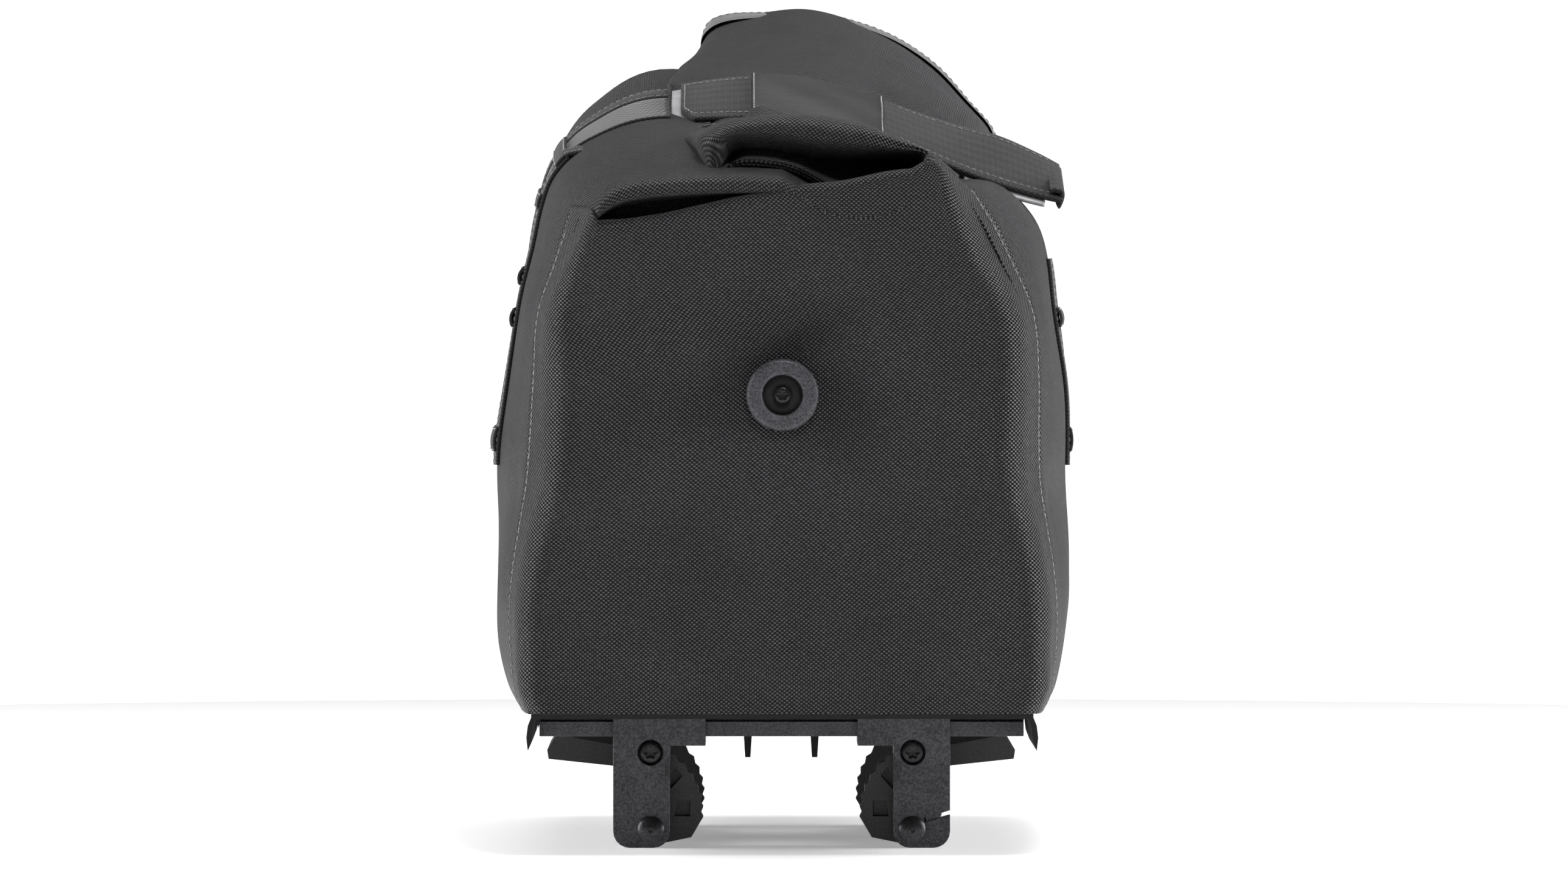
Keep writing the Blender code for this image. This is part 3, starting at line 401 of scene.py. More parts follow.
def wrap_half(side):
    """Grid of one half: columns up the outline, rows along the bag, with the cloth folded under at each end.

    Below the corner the rows end at the seam; above it they run on to the fold, whose last rows turn
    through a half circle and run back underneath.
    """
    columns = 120
    index = np.linspace(0, shoulder + len(left_end) - 1, columns)
    upper = ease(index, corner_index[side] - 0.1, corner_index[side] + 0.6)
    reach = seam_y + (half_length - 0.0035 - seam_y) * upper
    share = np.sin(np.linspace(-math.pi / 2, math.pi / 2, 110)) * 0.5 + 0.5
    y = -reach + 2 * reach * share[:, None]
    lines = sampled(wrap_line(side, y.reshape(-1)), columns)
    pick = np.tile(np.arange(columns), len(share))
    points = lines[np.arange(len(pick)), pick].reshape(len(share), columns, 2)
    sunk = 0.0016 * ease(np.abs(y), seam_y - 0.0070, seam_y - 0.0042) * (1 - upper)
    points[..., 0] -= np.sign(points[..., 0]) * sunk
    grid = np.stack([points[..., 0], y, points[..., 1]], axis=-1)
    return grid, upper


def softened(grid, sign):
    """Long soft creases of a half-full bag: a wave down from the shoulder and folds near the ends."""
    x, y, z = grid[..., 0], grid[..., 1], grid[..., 2]
    out = 0.0008 * np.sin(y * 46 + z * 31 + sign) * ease(z, 0.09, 0.15) * (1 - ease(z, 0.235, 0.27))
    out += 0.0006 * np.sin(z * 88 - y * 21 + 2 * sign) * (1 - ease(np.abs(y), 0.11, 0.15))
    out -= 0.0022 * ridge(z, 0.148 + 0.10 * (np.abs(y) - 0.13), 0.014) * ridge(np.abs(y), 0.130, 0.030)
    out += 0.0012 * ridge(z, 0.112, 0.016) * ridge(np.abs(y), 0.120, 0.028)
    shape = np.stack([sign * np.ones_like(x), np.zeros_like(x), np.zeros_like(x)], axis=-1)
    free = (1 - ease(z, 0.25, 0.29)) * (1 - ease(np.abs(y), 0.128, 0.150))
    return grid + shape * (out * free)[..., None]


def tucked(grid, upper, at_front):
    """Rows that fold the cloth's end under: a half circle of fold_radius, then a flat run inwards."""
    edge = grid[0] if at_front else grid[-1]
    turn = np.linspace(0, math.pi, 9)[1:, None]
    sign = -1 if at_front else 1
    along = np.concatenate([fold_radius * np.sin(turn), np.array([[-0.006], [-0.014], [-0.024]])])
    flat_run = 2 * fold_radius + np.array([[0.0005], [0.002], [0.004]])
    down = np.concatenate([fold_radius * (1 - np.cos(turn)), flat_run])
    fold = np.repeat(edge[None], len(along), axis=0).copy()
    fold[..., 1] += sign * along * upper
    fold[..., 2] -= down * upper
    fold[..., 1] += sign * (1 - upper) * np.linspace(0.0004, 0.006, len(along))[:, None]
    fold[..., 0] -= np.sign(edge[:, 0]) * (1 - upper) * np.linspace(0.0002, 0.0010, len(along))[:, None]
    return fold[::-1] if at_front else fold


halves = []
for side, sign in (("left", -1), ("right", 1)):
    grid, upper = wrap_half(side)
    grid = softened(grid, sign)
    grid = np.concatenate([tucked(grid, upper, True), grid, tucked(grid, upper, False)])
    halves.append(grid if side == "left" else grid[:, ::-1])
main_grid = np.concatenate([halves[0], halves[1][:, 1:]], axis=1)
main_cloth = surface("main_cloth", main_grid, bag_cloth, 0.0010, (0, 0, 1))
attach(main_cloth, "bag")
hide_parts("left_side_panel", "right_side_panel", "left_top_cover", "right_top_cover")

# ---- End cloths ----
# The cloth of each end: flat over the front, turned round two soft vertical corners, and lapped over
# the main cloth by a sewn seam. Its top edge is a crease, from which it dives inwards as a pleat.
crease = [(-0.0767, 0.2636), (-0.0640, 0.2642), (-0.0490, 0.2665), (-0.0173, 0.2737), (0.0089, 0.2785)]
crease = np.array(crease + [(0.0376, 0.2808), (0.0530, 0.2818), (0.0585, 0.2850), (0.0600, 0.2890)])


def end_rows(rows):
    """Left and right boundary of the flat face and of the seam, from the floor up to the crease."""
    lines = {}
    for side in ("left", "right"):
        for name, y in (("face", half_length), ("seam", seam_y - 0.004)):
            line = wrap_line(side, np.array([-y]))[0]
            lines[side + name] = sampled(line, np.linspace(0, corner_index[side], rows))
    right_corner_rise = 0.0095
    lines["rightface"][:, 1] += ease(np.linspace(0, 1, rows), 0.86, 1.0) * right_corner_rise
    return lines


def end_cloth(name, sign):
    """Rows from floor to crease, columns from seam to seam: side strip, soft corner, face, corner, strip."""
    rows, face_count, turn_count, strip_count = 120, 110, 12, 8
    lines = end_rows(rows)
    rise = np.linspace(0, 1, rows)[:, None]
    across = np.linspace(0, 1, face_count)[None, :]
    left, right = lines["leftface"], lines["rightface"]
    round_off = 0.0105 - 0.0085 * ease(rise, 0.80, 1.0)
    x = left[:, :1] + round_off * 0.8 + (right[:, :1] - left[:, :1] - 1.6 * round_off) * across
    top = np.interp(x[-1], crease[:, 0], crease[:, 1]) - 0.0030 * (1 - ease(x[-1], 0.02, 0.05))
    flat = left[:, 1:] + (right[:, 1:] - left[:, 1:]) * across
    z = flat + (top - flat[-1]) * ease(rise, 0.60, 1.0) * ease(rise, 0.2, 1.0)
    y = np.full_like(x, -half_length)
    y -= 0.0040 * np.sin(math.pi * across) ** 0.8 * (1 - ease(z, 0.20, 0.27)) * ease(z, 0.062, 0.085)
    face = np.stack([x, y, z], axis=-1)

    def corner(side, face_edge):
        """Straight strip from the seam, then a quadratic curve round the corner to the face's edge."""
        seam, hip = lines[side + "seam"], lines[side + "face"]
        start = np.stack([seam[:, 0], np.full(rows, -(seam_y - 0.004)), seam[:, 1]], axis=-1)
        outer = np.sign(hip[:, 0])
        start[:, 0] += outer * 0.0002
        bend = np.stack([hip[:, 0] + outer * 0.0006, np.full(rows, -half_length), hip[:, 1]], axis=-1)
        leg = np.linalg.norm(start - bend, axis=1, keepdims=True)
        into = bend + (start - bend) * np.minimum(0.9, round_off / leg)
        strip = start[:, None] + (into - start)[:, None] * np.linspace(0, 1, strip_count)[None, :, None]
        t = np.linspace(0, 1, turn_count + 2)[None, 1:-1, None]
        turn = (1 - t) ** 2 * into[:, None] + 2 * t * (1 - t) * bend[:, None] + t**2 * face_edge[:, None]
        return np.concatenate([strip, turn], axis=1)

    grid = np.concatenate([corner("left", face[:, 0]), face, corner("right", face[:, -1])[:, ::-1]], axis=1)
    x, z = grid[..., 0], grid[..., 2]
    stud_z = 0.192
    press = 0.0034 * np.exp(-((np.hypot(x, z - stud_z) / 0.030) ** 2))
    slant = (x - 0.004) * 0.5 - (z - 0.215) * 0.86
    along = (x - 0.004) * 0.86 + (z - 0.215) * 0.5
    press += 0.0022 * np.exp(-((slant / 0.007) ** 2) - ((along / 0.016) ** 2))
    ripple = 0.0010 * np.sin(z * 95 + x * 12) * np.sin(x * 24 + 0.7)
    press += ripple * ease(z, 0.07, 0.11) * (1 - ease(z, 0.22, 0.25))
    press -= 0.0016 * ridge(z - 0.35 * np.abs(x), 0.118, 0.010) * ridge(np.abs(x), 0.090, 0.022)
    facing = np.clip((-grid[..., 1] - 0.158) / 0.010, 0, 1)
    grid[..., 1] += press * facing
    hem = np.linspace(0, 1, 6)[1:, None]
    under = np.repeat(grid[:1], 5, axis=0).copy()
    turn = hem * math.pi / 2
    under[..., 1] += 0.004 * np.sin(turn) + 0.010 * hem**2
    under[..., 0] *= 1 - 0.02 * hem
    edge = np.repeat(grid[-1:], 12, axis=0).copy()
    bend = np.linspace(0, math.pi * 0.55, 9)[1:]
    radius = 0.0034
    deeper = np.concatenate([radius * (1 - np.cos(bend)), [0.010, 0.018, 0.028, 0.040]])
    height = np.concatenate([radius * np.sin(bend), [0.0022, 0.0005, -0.002, -0.006]])
    edge[..., 1] += deeper[:, None]
    depth = -half_length + 0.040
    left_top, right_top = (wrap_line(side, depth)[0][shoulder:] for side in ("left", "right"))
    outline = np.concatenate([left_top, right_top[::-1]])
    above = np.interp(edge[-1, :, 0], outline[:, 0], outline[:, 1]) - 0.003
    rising = (above - edge[-1, :, 2]) * (1 - ease(edge[-1, :, 0], -0.01, 0.02)) * (above > edge[-1, :, 2])
    edge[..., 2] += height[:, None] + np.concatenate([np.zeros(9), [0.30, 0.65, 1.0]])[:, None] * rising
    grid = np.concatenate([under[::-1], grid, edge])
    grid[..., 1] *= -sign
    if sign > 0:
        grid = grid[:, ::-1]
    normal = normals_of(grid)
    for column in (1, -2):
        run, facing_out = grid[8:-16, column], normal[8:-16, column]
        seam_runs.append((run, facing_out * np.sign((facing_out[:, :1] * run[:, :1]).sum())))
    return surface(name, grid, bag_cloth, 0.0010, (0, sign, 0))


seam_runs = []
for end, sign in (("front", -1), ("back", 1)):
    cloth = end_cloth(end + "_end_cloth", sign)
    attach(cloth, "bag")
    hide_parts(end + "_end_panel")

# ---- Rolled mouth ----
# The mouth is rolled up and flattened under the strap. Near the front it stays a soft flattened tube
# with a thick curled lip, and at the back it flares into a wide open rim.


def at_depth(y, *pairs):
    """Points at depth y on the lines from the eye through (x, z) pairs, in mm on the hooks' plane."""
    scale = (y - eye.y) / (hook_face - eye.y)
    flat = np.array(pairs) / 1000
    x = eye.x + (flat[:, 0] - eye.x) * scale
    z = eye.z + (flat[:, 1] - eye.z) * scale
    return np.stack([x, np.full(len(flat), y), z], axis=-1)


def cloth_height(x, y):
    """Height of the main cloth's top at one place, read off the outline across the bag."""
    line = wrap_line("left" if x < 0 else "right", y)[0][shoulder:]
    line = line[np.argsort(line[:, 0])]
    return float(np.interp(x, line[:, 0], line[:, 1]))


def tube_ring(y, pairs, rise=0.0015):
    """Twelve points over the top, left to right, and four back along the main cloth underneath."""
    top = at_depth(y, *pairs)
    left, right = top[0, 0], top[-1, 0]
    under = [right + (left - right) * share for share in (0.16, 0.40, 0.64, 0.88)]
    low = [(x, y, cloth_height(x, max(y, -0.150)) + rise) for x in under]
    return np.concatenate([top, np.array(low)])


inner_mouth = [(-25.7, 284), (-23.5, 290.5), (-21.3, 297), (-16, 298.8), (-5, 298.6), (8, 296.9), (20, 295)]
inner_mouth += [(35, 293.7), (48, 293.3), (58.6, 292.6), (59.6, 289.8), (58.6, 286)]
outer_mouth = [(-28.5, 283), (-32, 290.5), (-35, 299.5), (-26, 304.8), (-12, 307.6), (5, 308.3), (20, 307.2)]
outer_mouth += [(36, 303.8), (49, 298.6), (61, 293.8), (62.6, 290), (60.5, 285)]
deep = [(-24, 285), (-22, 288), (-18, 291), (-13, 291.6), (-4, 291.5), (8, 290.5), (20, 289.5)]
deep += [(35, 289.3), (47, 289.4), (56, 289.6), (57, 288), (56, 286)]
shut = [(-22, 286), (-21, 286.5), (-18, 287), (-13, 287), (-4, 287), (8, 287), (20, 287)]
shut += [(35, 287), (47, 287), (54, 287), (55, 286.5), (54, 286)]
behind_lip = [
    (-31, 284), (-35, 292), (-38, 300.5), (-28, 305.2), (-12, 307.8), (5, 308.3), (20, 307), (36, 303.4)]
behind_lip += [(50, 297.8), (62.5, 292), (65.5, 288.5), (63, 284)]
before_strap = [
    (-36, 288), (-40, 294), (-42, 299.0), (-29, 302.6), (-12, 305.6), (5, 306.2), (20, 305), (36, 301.4)]
before_strap += [(52, 295), (66, 287.5), (70, 284.5), (66, 281)]
strap_front = [
    (-39, 290), (-42, 295), (-43, 299), (-29, 302.4), (-12, 304.8), (5, 305), (20, 303.2), (36, 299.8)]
strap_front += [(52, 292.6), (66, 286), (71, 283), (67, 280)]
under_strap = [(-42, 301), (-45, 306), (-46, 310), (-29, 312), (-12, 314), (5, 313.2), (20, 311.4), (36, 307)]
under_strap += [(52, 301), (67, 294.5), (75, 290), (72, 287)]
strap_back = [
    (-43, 311), (-46, 315), (-47, 318), (-29, 321), (-12, 323.2), (5, 322), (20, 319.8), (38, 314.5)]
strap_back += [(55, 308), (71, 301), (80, 296), (78, 292)]
flare = [
    (-41, 319), (-45, 321), (-46.5, 323.5), (-32, 327.5), (-13, 330), (5, 330.5), (22, 328.6), (40, 323.8)]
flare += [(57, 317.3), (72, 309), (84, 300), (83, 292)]
flare_middle = [(-38, 323), (-41, 325), (-42.5, 328), (-30, 334.6), (-12, 338.8), (6, 339.8), (25, 337.4)]
flare_middle += [(43, 331.8), (60, 323.4), (74, 313.4), (85.5, 302), (85, 292)]
flare_back = [
    (-34, 325), (-37, 328.5), (-37, 333), (-29.5, 341), (-11, 345.6), (8, 346.4), (28, 343.4), (46, 337.4)]
flare_back += [(62, 328), (75.5, 316), (87, 303), (87, 291)]
rim = [
    (-30, 330), (-32.5, 338), (-30.5, 347), (-22, 350.6), (-6, 351.2), (12, 351.4), (31, 347.4), (49, 340.2)]
rim += [(65.5, 328.6), (78.5, 314), (88.5, 302), (89, 291)]

outer = tube_ring(-0.1500, outer_mouth, 0.0005)
inner = tube_ring(-0.1515, inner_mouth, 0.0030)
lip = (outer + inner) / 2
lip[:, 1] -= 0.0006 + 0.42 * np.linalg.norm(outer - inner, axis=1)
rings = [
    tube_ring(-0.0980, shut, 0.012),
    tube_ring(-0.1280, deep, 0.0060),
    inner,
    lip,
    outer,
    tube_ring(-0.1250, behind_lip),
    tube_ring(-0.0950, before_strap),
    tube_ring(-0.0775, strap_front),
    tube_ring(-0.0550, under_strap),
    tube_ring(-0.0325, strap_back),
    tube_ring(0.0000, flare),
    tube_ring(0.0500, flare_middle),
    tube_ring(0.0900, flare_back),
    tube_ring(0.1300, rim),
]


def smooth_tube(rings, along, columns):
    """Grid over closed control rings: Catmull-Rom curves round each ring, then from ring to ring."""
    rings = np.array(rings)
    wrapped = np.concatenate([rings[:, -1:], rings, rings[:, :2]], axis=1)
    round_places = 1 + rings.shape[1] * np.arange(columns) / columns
    fine = sampled(wrapped, round_places)
    return sampled(fine.transpose(1, 0, 2), along).transpose(1, 0, 2)


def outward_normals(grid):
    """Normals of a tube's grid, turned away from the middle of each ring."""
    normal = normals_of(np.concatenate([grid[:, -1:], grid, grid[:, :1]], axis=1))[:, 1:-1]
    away = (normal * (grid - grid.mean(axis=1, keepdims=True))).sum(axis=(0, 1, 2))
    return normal * np.sign(away)


places = np.concatenate([np.linspace(0, 5, 60)[:-1], np.linspace(5, 13, 90)])
roll = smooth_tube(rings, places, 200)
normal = outward_normals(roll)
x, y, z = roll[..., 0], roll[..., 1], roll[..., 2]
pulled = 0.0012 * np.sin(x * 130 + y * 60) * ridge(y, -0.028, 0.020) * ease(z, 0.30, 0.32)
pleat_line = np.exp(-(((z - 0.334 - 0.12 * x) / 0.0035) ** 2))
pulled += 0.0014 * pleat_line * ease(y, 0.0, 0.03) * ease(x, -0.05, -0.02) * (1 - ease(x, 0.02, 0.05))
pulled += 0.0010 * np.sin(z * 210 + x * 60) * ridge(x, -0.032, 0.010) * ridge(y, -0.135, 0.025)
pulled += 0.0016 * np.sin((x + z) * 70 + 1) * ease(y, 0.03, 0.08)
roll = roll + normal * pulled[..., None]
rolled_mouth = surface("rolled_mouth", roll, bag_cloth, 0.0010, "tube", around=True)
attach(rolled_mouth, "bag")
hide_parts("rolled_top")

# ---- Thread and stitching ----
# Lock stitches of pale grey thread, each a short capsule that dips into the cloth at both ends.


def thread_material():
    """Twisted thread: flecked grey, matt, with a fine bump."""
    made = Nodes("grey_thread")
    here = made.here()
    fleck = made.noise(here, 600, 2.0)
    made.plug("Base Color", made.ramp(fleck, 0.3, 0.7, (0.16, 0.16, 0.165), (0.34, 0.34, 0.345)))
    made.plug("Roughness", 0.8)
    made.plug("Sheen Weight", 0.3)
    made.bump(made.noise(here, 4000, 1.0), 0.00008)
    return made.material


thread = thread_material()
stitch_profile = np.array([
    (-0.5, 0.15, -0.9), (-0.38, 0.8, -0.2), (0.0, 1.0, 0.25), (0.38, 0.8, -0.2), (0.5, 0.15, -0.9)])
stitch_sides = 6


def stitches(name, runs, body, pitch=0.0031, length=0.0024, radius=0.00032):
    """One mesh of separate stitches laid along runs of (points, normals), each a six-sided capsule.

    A capsule's rings stand at shares of its length, with a radius and a height above the cloth.
    """
    all_points, all_faces = [], []
    turn = np.arange(stitch_sides) * 2 * math.pi / stitch_sides
    rings_count = len(stitch_profile)
    base = np.arange(rings_count * stitch_sides).reshape(rings_count, stitch_sides)
    after = np.roll(base, -1, axis=1)
    quads = np.stack([base[:-1], base[1:], after[1:], after[:-1]], axis=-1).reshape(-1, 4)
    offset = 0
    for path, normals in runs:
        path, normals = np.asarray(path, float), np.asarray(normals, float)
        step = np.linalg.norm(np.diff(path, axis=0), axis=1)
        far = np.concatenate([[0], np.cumsum(step)])
        count = int(far[-1] / pitch)
        if count < 1:
            continue
        middle = (np.arange(count) + 0.5) * (far[-1] / count)

        def along(values, at):
            """The run's values read at distances along it."""
            return np.stack([np.interp(at, far, values[:, k]) for k in range(3)], axis=-1)

        centre, up = along(path, middle), along(normals, middle)
        tangent = along(path, middle + 0.0004) - along(path, middle - 0.0004)
        tangent /= np.linalg.norm(tangent, axis=1, keepdims=True)
        side = np.cross(tangent, up)
        side /= np.linalg.norm(side, axis=1, keepdims=True)
        up = np.cross(side, tangent)
        shift, wide, high = (stitch_profile[:, k][None, :, None, None] for k in range(3))
        frame_t, frame_s, frame_u = (v[:, None, None, :] for v in (tangent, side, up))
        cos, sin = np.cos(turn)[None, None, :, None], np.sin(turn)[None, None, :, None]
        points = centre[:, None, None, :] + frame_t * shift * length
        points = points + radius * (frame_s * cos * wide + frame_u * (sin * wide + high + 0.5))
        all_points.append(points.reshape(-1, 3))
        starts = offset + np.arange(count)[:, None, None] * rings_count * stitch_sides
        all_faces.append((quads[None] + starts).reshape(-1, 4))
        offset += count * rings_count * stitch_sides
    mesh = bpy.data.meshes.new(name)
    mesh.from_pydata(np.concatenate(all_points).tolist(), [], np.concatenate(all_faces).tolist())
    shape = bmesh.new()
    shape.from_mesh(mesh)
    bmesh.ops.holes_fill(shape, edges=shape.edges, sides=stitch_sides)
    bmesh.ops.recalc_face_normals(shape, faces=shape.faces)
    shape.to_mesh(mesh)
    shape.free()
    mesh.polygons.foreach_set("use_smooth", [True] * len(mesh.polygons))
    mesh.materials.append(thread)
    obj = bpy.data.objects.new(name, mesh)
    scene.collection.objects.link(obj)
    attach(obj, body)
    return obj


stitches("end_seam_stitches", seam_runs, "bag", 0.0034, 0.0026, 0.00026)

# ---- Hem of the flared rim ----
# A tape folded over the rim's raw edge and sewn down with one row of stitches near the edge.
tape_cloth = woven(
    "hem_tape_cloth", 0.0011, (0.020, 0.020, 0.021), (0.060, 0.060, 0.062), 0.00010, 0.6, 0.5, 0.2)
band_rows = 14
band = smooth_tube(rings, np.linspace(12.62, 13, band_rows), 200)
band_normal = outward_normals(band)
step_out = (band[-1] - band[-2]) / np.linalg.norm(band[-1] - band[-2], axis=-1, keepdims=True)
outside = band + band_normal * (0.0001 + 0.0005 * ease(np.arange(band_rows), 0, 4))[:, None, None]
turn = np.linspace(0, math.pi, 8)[1:-1, None, None]
fold = band[-1] + band_normal[-1] * (-0.0005 + 0.0011 * np.cos(turn)) + step_out * 0.0011 * np.sin(turn)
inside = (band - band_normal * 0.0016)[::-1]
hem = surface("rim_hem", np.concatenate([outside, fold, inside]), tape_cloth, 0.0, "tube", around=True)
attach(hem, "bag")
stitches("rim_hem_stitches", [(outside[-3, 8:150], band_normal[-3, 8:150])], "bag", 0.0034, 0.0026, 0.00030)

# ---- Ladder webbing ----
# On each side a ladder of woven webbing is sewn to the main cloth: a near and a far band with a row of
# stitches along each edge, a flat panel between them, and cross straps that the strap's plates hook into.


def webbing_material(name, dark, light, pitch=0.0016, sheen=0.35, broad_rib=None):
    """Narrow woven tape: fine ribs across the tape's width, on its own UV map in metres.

    broad_rib is the pitch of low ribs under the fine ones.
    """
    made = Nodes(name)
    place = made.add("ShaderNodeUVMap", uv_map="threads").outputs["UV"]
    split = made.add("ShaderNodeSeparateXYZ", {"Vector": place})
    rate = 2 * math.pi / pitch
    ribs = made.math("SINE", made.math("MULTIPLY", split.outputs["X"], rate))
    ends = made.math("SINE", made.math("MULTIPLY", split.outputs["Y"], rate * 0.5))
    cloth = made.math("ADD", made.math("MULTIPLY", ribs, ends), made.math("MULTIPLY", ends, 0.4))
    here = made.here()
    cloud = made.noise(here, 40, 4.0, 0.6)
    fuzz = made.noise(here, 1500, 2.0)
    tone = made.weighed(cloth, 0.22, cloud, 0.35)
    tone = made.math("ADD", tone, made.math("MULTIPLY", fuzz, 0.22))
    made.plug("Base Color", made.ramp(tone, 0.05, 0.65, dark, light))
    made.plug("Roughness", made.math("SUBTRACT", 0.85, made.math("MULTIPLY", cloud, 0.2)))
    made.plug("Specular IOR Level", 0.25)
    made.plug("Sheen Weight", sheen)
    made.plug("Sheen Roughness", 0.4)
    under = {}
    if broad_rib:
        wave = made.math("SINE", made.math("MULTIPLY", split.outputs["X"], 2 * math.pi / broad_rib))
        under["Normal"] = made.bump(wave, 0.00025, 0.35)
    made.bump(made.math("ADD", cloth, fuzz), 0.00012, **under)
    return made.material


webbing = webbing_material("woven_webbing", (0.008, 0.008, 0.009), (0.034, 0.034, 0.036), 0.0016, 0.12)
panel_tape = webbing_material("ladder_panel_tape", (0.013, 0.013, 0.014), (0.046, 0.046, 0.048), 0.0024)


def wrap_grid(side, y, at, lift=0.0):
    """Grid on the main cloth: rows along y, columns at places of the outline, lifted along the normal."""
    lines = sampled(wrap_line(side, y), at)
    depth = np.broadcast_to(np.asarray(y)[:, None], lines.shape[:2])
    grid = np.stack([lines[..., 0], depth, lines[..., 1]], axis=-1)
    sign = -1 if side == "left" else 1
    grid = softened(grid, sign)
    normal = normals_of(grid)
    normal *= np.sign((normal[..., 0] * sign + normal[..., 2]).mean())
    lift = np.asarray(lift)
    if lift.ndim == 1:
        lift = lift[:, None]
    return grid + normal * np.broadcast_to(lift, grid.shape[:2])[..., None], normal


rung_spans = [(6.6, 7.1, 0.0010), (8.75, 9.1, 0.0016), (9.5, 9.85, 0.0016), (11.0, 11.35, 0.0006)]
rung_spans += [(12.05, 12.45, 0.0006)]
ladder_ends = {"left": (6.3, 14.1), "right": (6.3, 10.0)}
for side, sign in (("left", -1), ("right", 1)):
    low, high = ladder_ends[side]
    at = np.linspace(low, high, 150)
    outward = (sign, 0, 0.6)
    bands = {"near": (-0.0860, -0.0725, 0.0014), "far": (-0.0375, -0.0230, 0.0013)}
    runs = []
    for place, (y0, y1, lift) in bands.items():
        y = np.linspace(y0, y1, 9)
        arch = lift + 0.0007 * np.sin(np.linspace(0, math.pi, 9))
        grid, normal = wrap_grid(side, y, at, arch)
        if (side, place) == ("left", "near"):
            tail = np.array([
                (-0.0470, 0.2985, 0.3015), (-0.0380, 0.3025, 0.3036),
                (-0.0270, 0.3048, 0.3053), (-0.0150, 0.3056, 0.3060)])
            share = np.linspace(0, 1, 9)[:, None]
            rest_x, rest_y = np.broadcast_arrays(tail[:, 0], y[:, None])
            rest = np.stack([rest_x, rest_y, tail[:, 1] + (tail[:, 2] - tail[:, 1]) * share], axis=-1)
            grid = sampled(np.concatenate([grid[:, :122:4], rest], axis=1), 200)
            normal = normals_of(grid)
            normal *= np.sign(normal[..., 2].mean())
        piece = surface(f"{side}_ladder_{place}_band", grid, webbing, 0.0014, outward)
        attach(piece, "bag")
        runs += [(grid[1], normal[1]), (grid[-2], normal[-2])]
    y = np.linspace(-0.0722, -0.0378, 16)
    grid, normal = wrap_grid(side, y, at, 0.0009)
    panel = surface(f"{side}_ladder_panel", grid, panel_tape, 0.0010, outward)
    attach(panel, "bag")
    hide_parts(side + "_ladder")
    y = np.linspace(-0.0850, -0.0240, 22)
    across = []
    for number, (start, stop, bulge) in enumerate(rung_spans):
        if stop > high - 0.2:
            continue
        share = np.linspace(0, 1, 12)
        grid, normal = wrap_grid(side, y, start + (stop - start) * share, 0.0024)
        lifted = bulge * np.sin(math.pi * share) ** 0.7
        grid = grid + normal * lifted[None, :, None]
        rung = surface(f"{side}_ladder_rung_{number}", grid, webbing, 0.0012, outward)
        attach(rung, "bag")
        across += [(grid[:, 1], normal[:, 1]), (grid[:, -2], normal[:, -2])]
    stitches(side + "_ladder_stitches", runs, "bag", 0.0030, 0.0022, 0.00026)
    stitches(side + "_rung_stitches", across, "bag", 0.0026, 0.0019, 0.00024)

# ---- Carrying strap ----
# Woven webbing lies across the roll with its front edge low. A satin cloth sleeve is sewn round its
# middle as a grip, each end carries a flat plate, and the right end is folded into a short tab.
knots = [-0.0490, -0.0300, -0.0120, 0.0015, 0.0150, 0.0290, 0.0430, 0.0600, 0.0760, 0.0930, 0.1090, 0.1185]
front_z = [0.3075, 0.3082, 0.3085, 0.3080, 0.3065, 0.3040, 0.3005, 0.2930, 0.2860, 0.2800, 0.2755, 0.2735]
back_z = [0.3215, 0.3245, 0.3262, 0.3255, 0.3235, 0.3202, 0.3160, 0.3100, 0.3050, 0.3005, 0.2935, 0.2885]
strap_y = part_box("strap_left_webbing")[0].y
strap_width = 0.045


def strap_grid(x0, x1, columns, rows=14, wider=0.0, lift=0.0, swell=0.0, cut=(0, 0, 1)):
    """Grid of the strap between two places: rows from its front edge to its back one, slightly crowned.

    cut takes a share off the front edge at one place, running out at another.
    """
    knot_line = np.stack([knots, front_z, back_z], axis=-1)
    fine = sampled(knot_line, 400)
    x = np.linspace(x0, x1, columns)
    low, high = np.interp(x, fine[:, 0], fine[:, 1]), np.interp(x, fine[:, 0], fine[:, 2])
    share = np.linspace(-wider / strap_width, 1 + wider / strap_width, rows)[:, None]
    lost = cut[0] * (1 - np.clip((x - cut[1]) / (cut[2] - cut[1]), 0, 1))
    share = share + lost * (1 - share)
    y = strap_y + strap_width * share
    z = low + (high - low) * share + swell * np.sin(math.pi * np.clip(share, 0, 1))
    grid = np.stack([np.broadcast_to(x, (rows, columns)), np.broadcast_to(y, (rows, columns)), z], axis=-1)
    normal = normals_of(grid)
    normal *= np.sign(normal[..., 2].mean())
    return grid + normal * lift, normal


webbing_dark, webbing_light = (0.008, 0.008, 0.009), (0.034, 0.034, 0.036)
strap_webbing = webbing_material("ribbed_strap_webbing", webbing_dark, webbing_light, 0.0013, 0.12, 0.0075)


def sleeve_material():
    """Smooth satin cloth: hardly any weave, a soft broad shine and faint pulled wrinkles."""
    made = Nodes("satin_sleeve_cloth")
    here = made.here()
    stretched = made.add("ShaderNodeMapping", {"Vector": here, "Scale": (0.35, 1.0, 1.0)}).outputs["Vector"]
    wrinkle = made.noise(stretched, 60, 3.0, 0.55)
    fine = made.noise(here, 2600, 2.0)
    tone = made.weighed(wrinkle, 0.6, fine, 0.4)
    made.plug("Base Color", made.ramp(tone, 0.3, 0.75, (0.009, 0.009, 0.0088), (0.022, 0.022, 0.0215)))
    made.plug("Roughness", made.math("ADD", 0.38, made.math("MULTIPLY", wrinkle, 0.16)))
    made.plug("Specular IOR Level", 0.22)
    made.plug("Sheen Weight", 0.05)
    made.bump(made.math("ADD", wrinkle, made.math("MULTIPLY", fine, 0.12)), 0.0006)
    return made.material


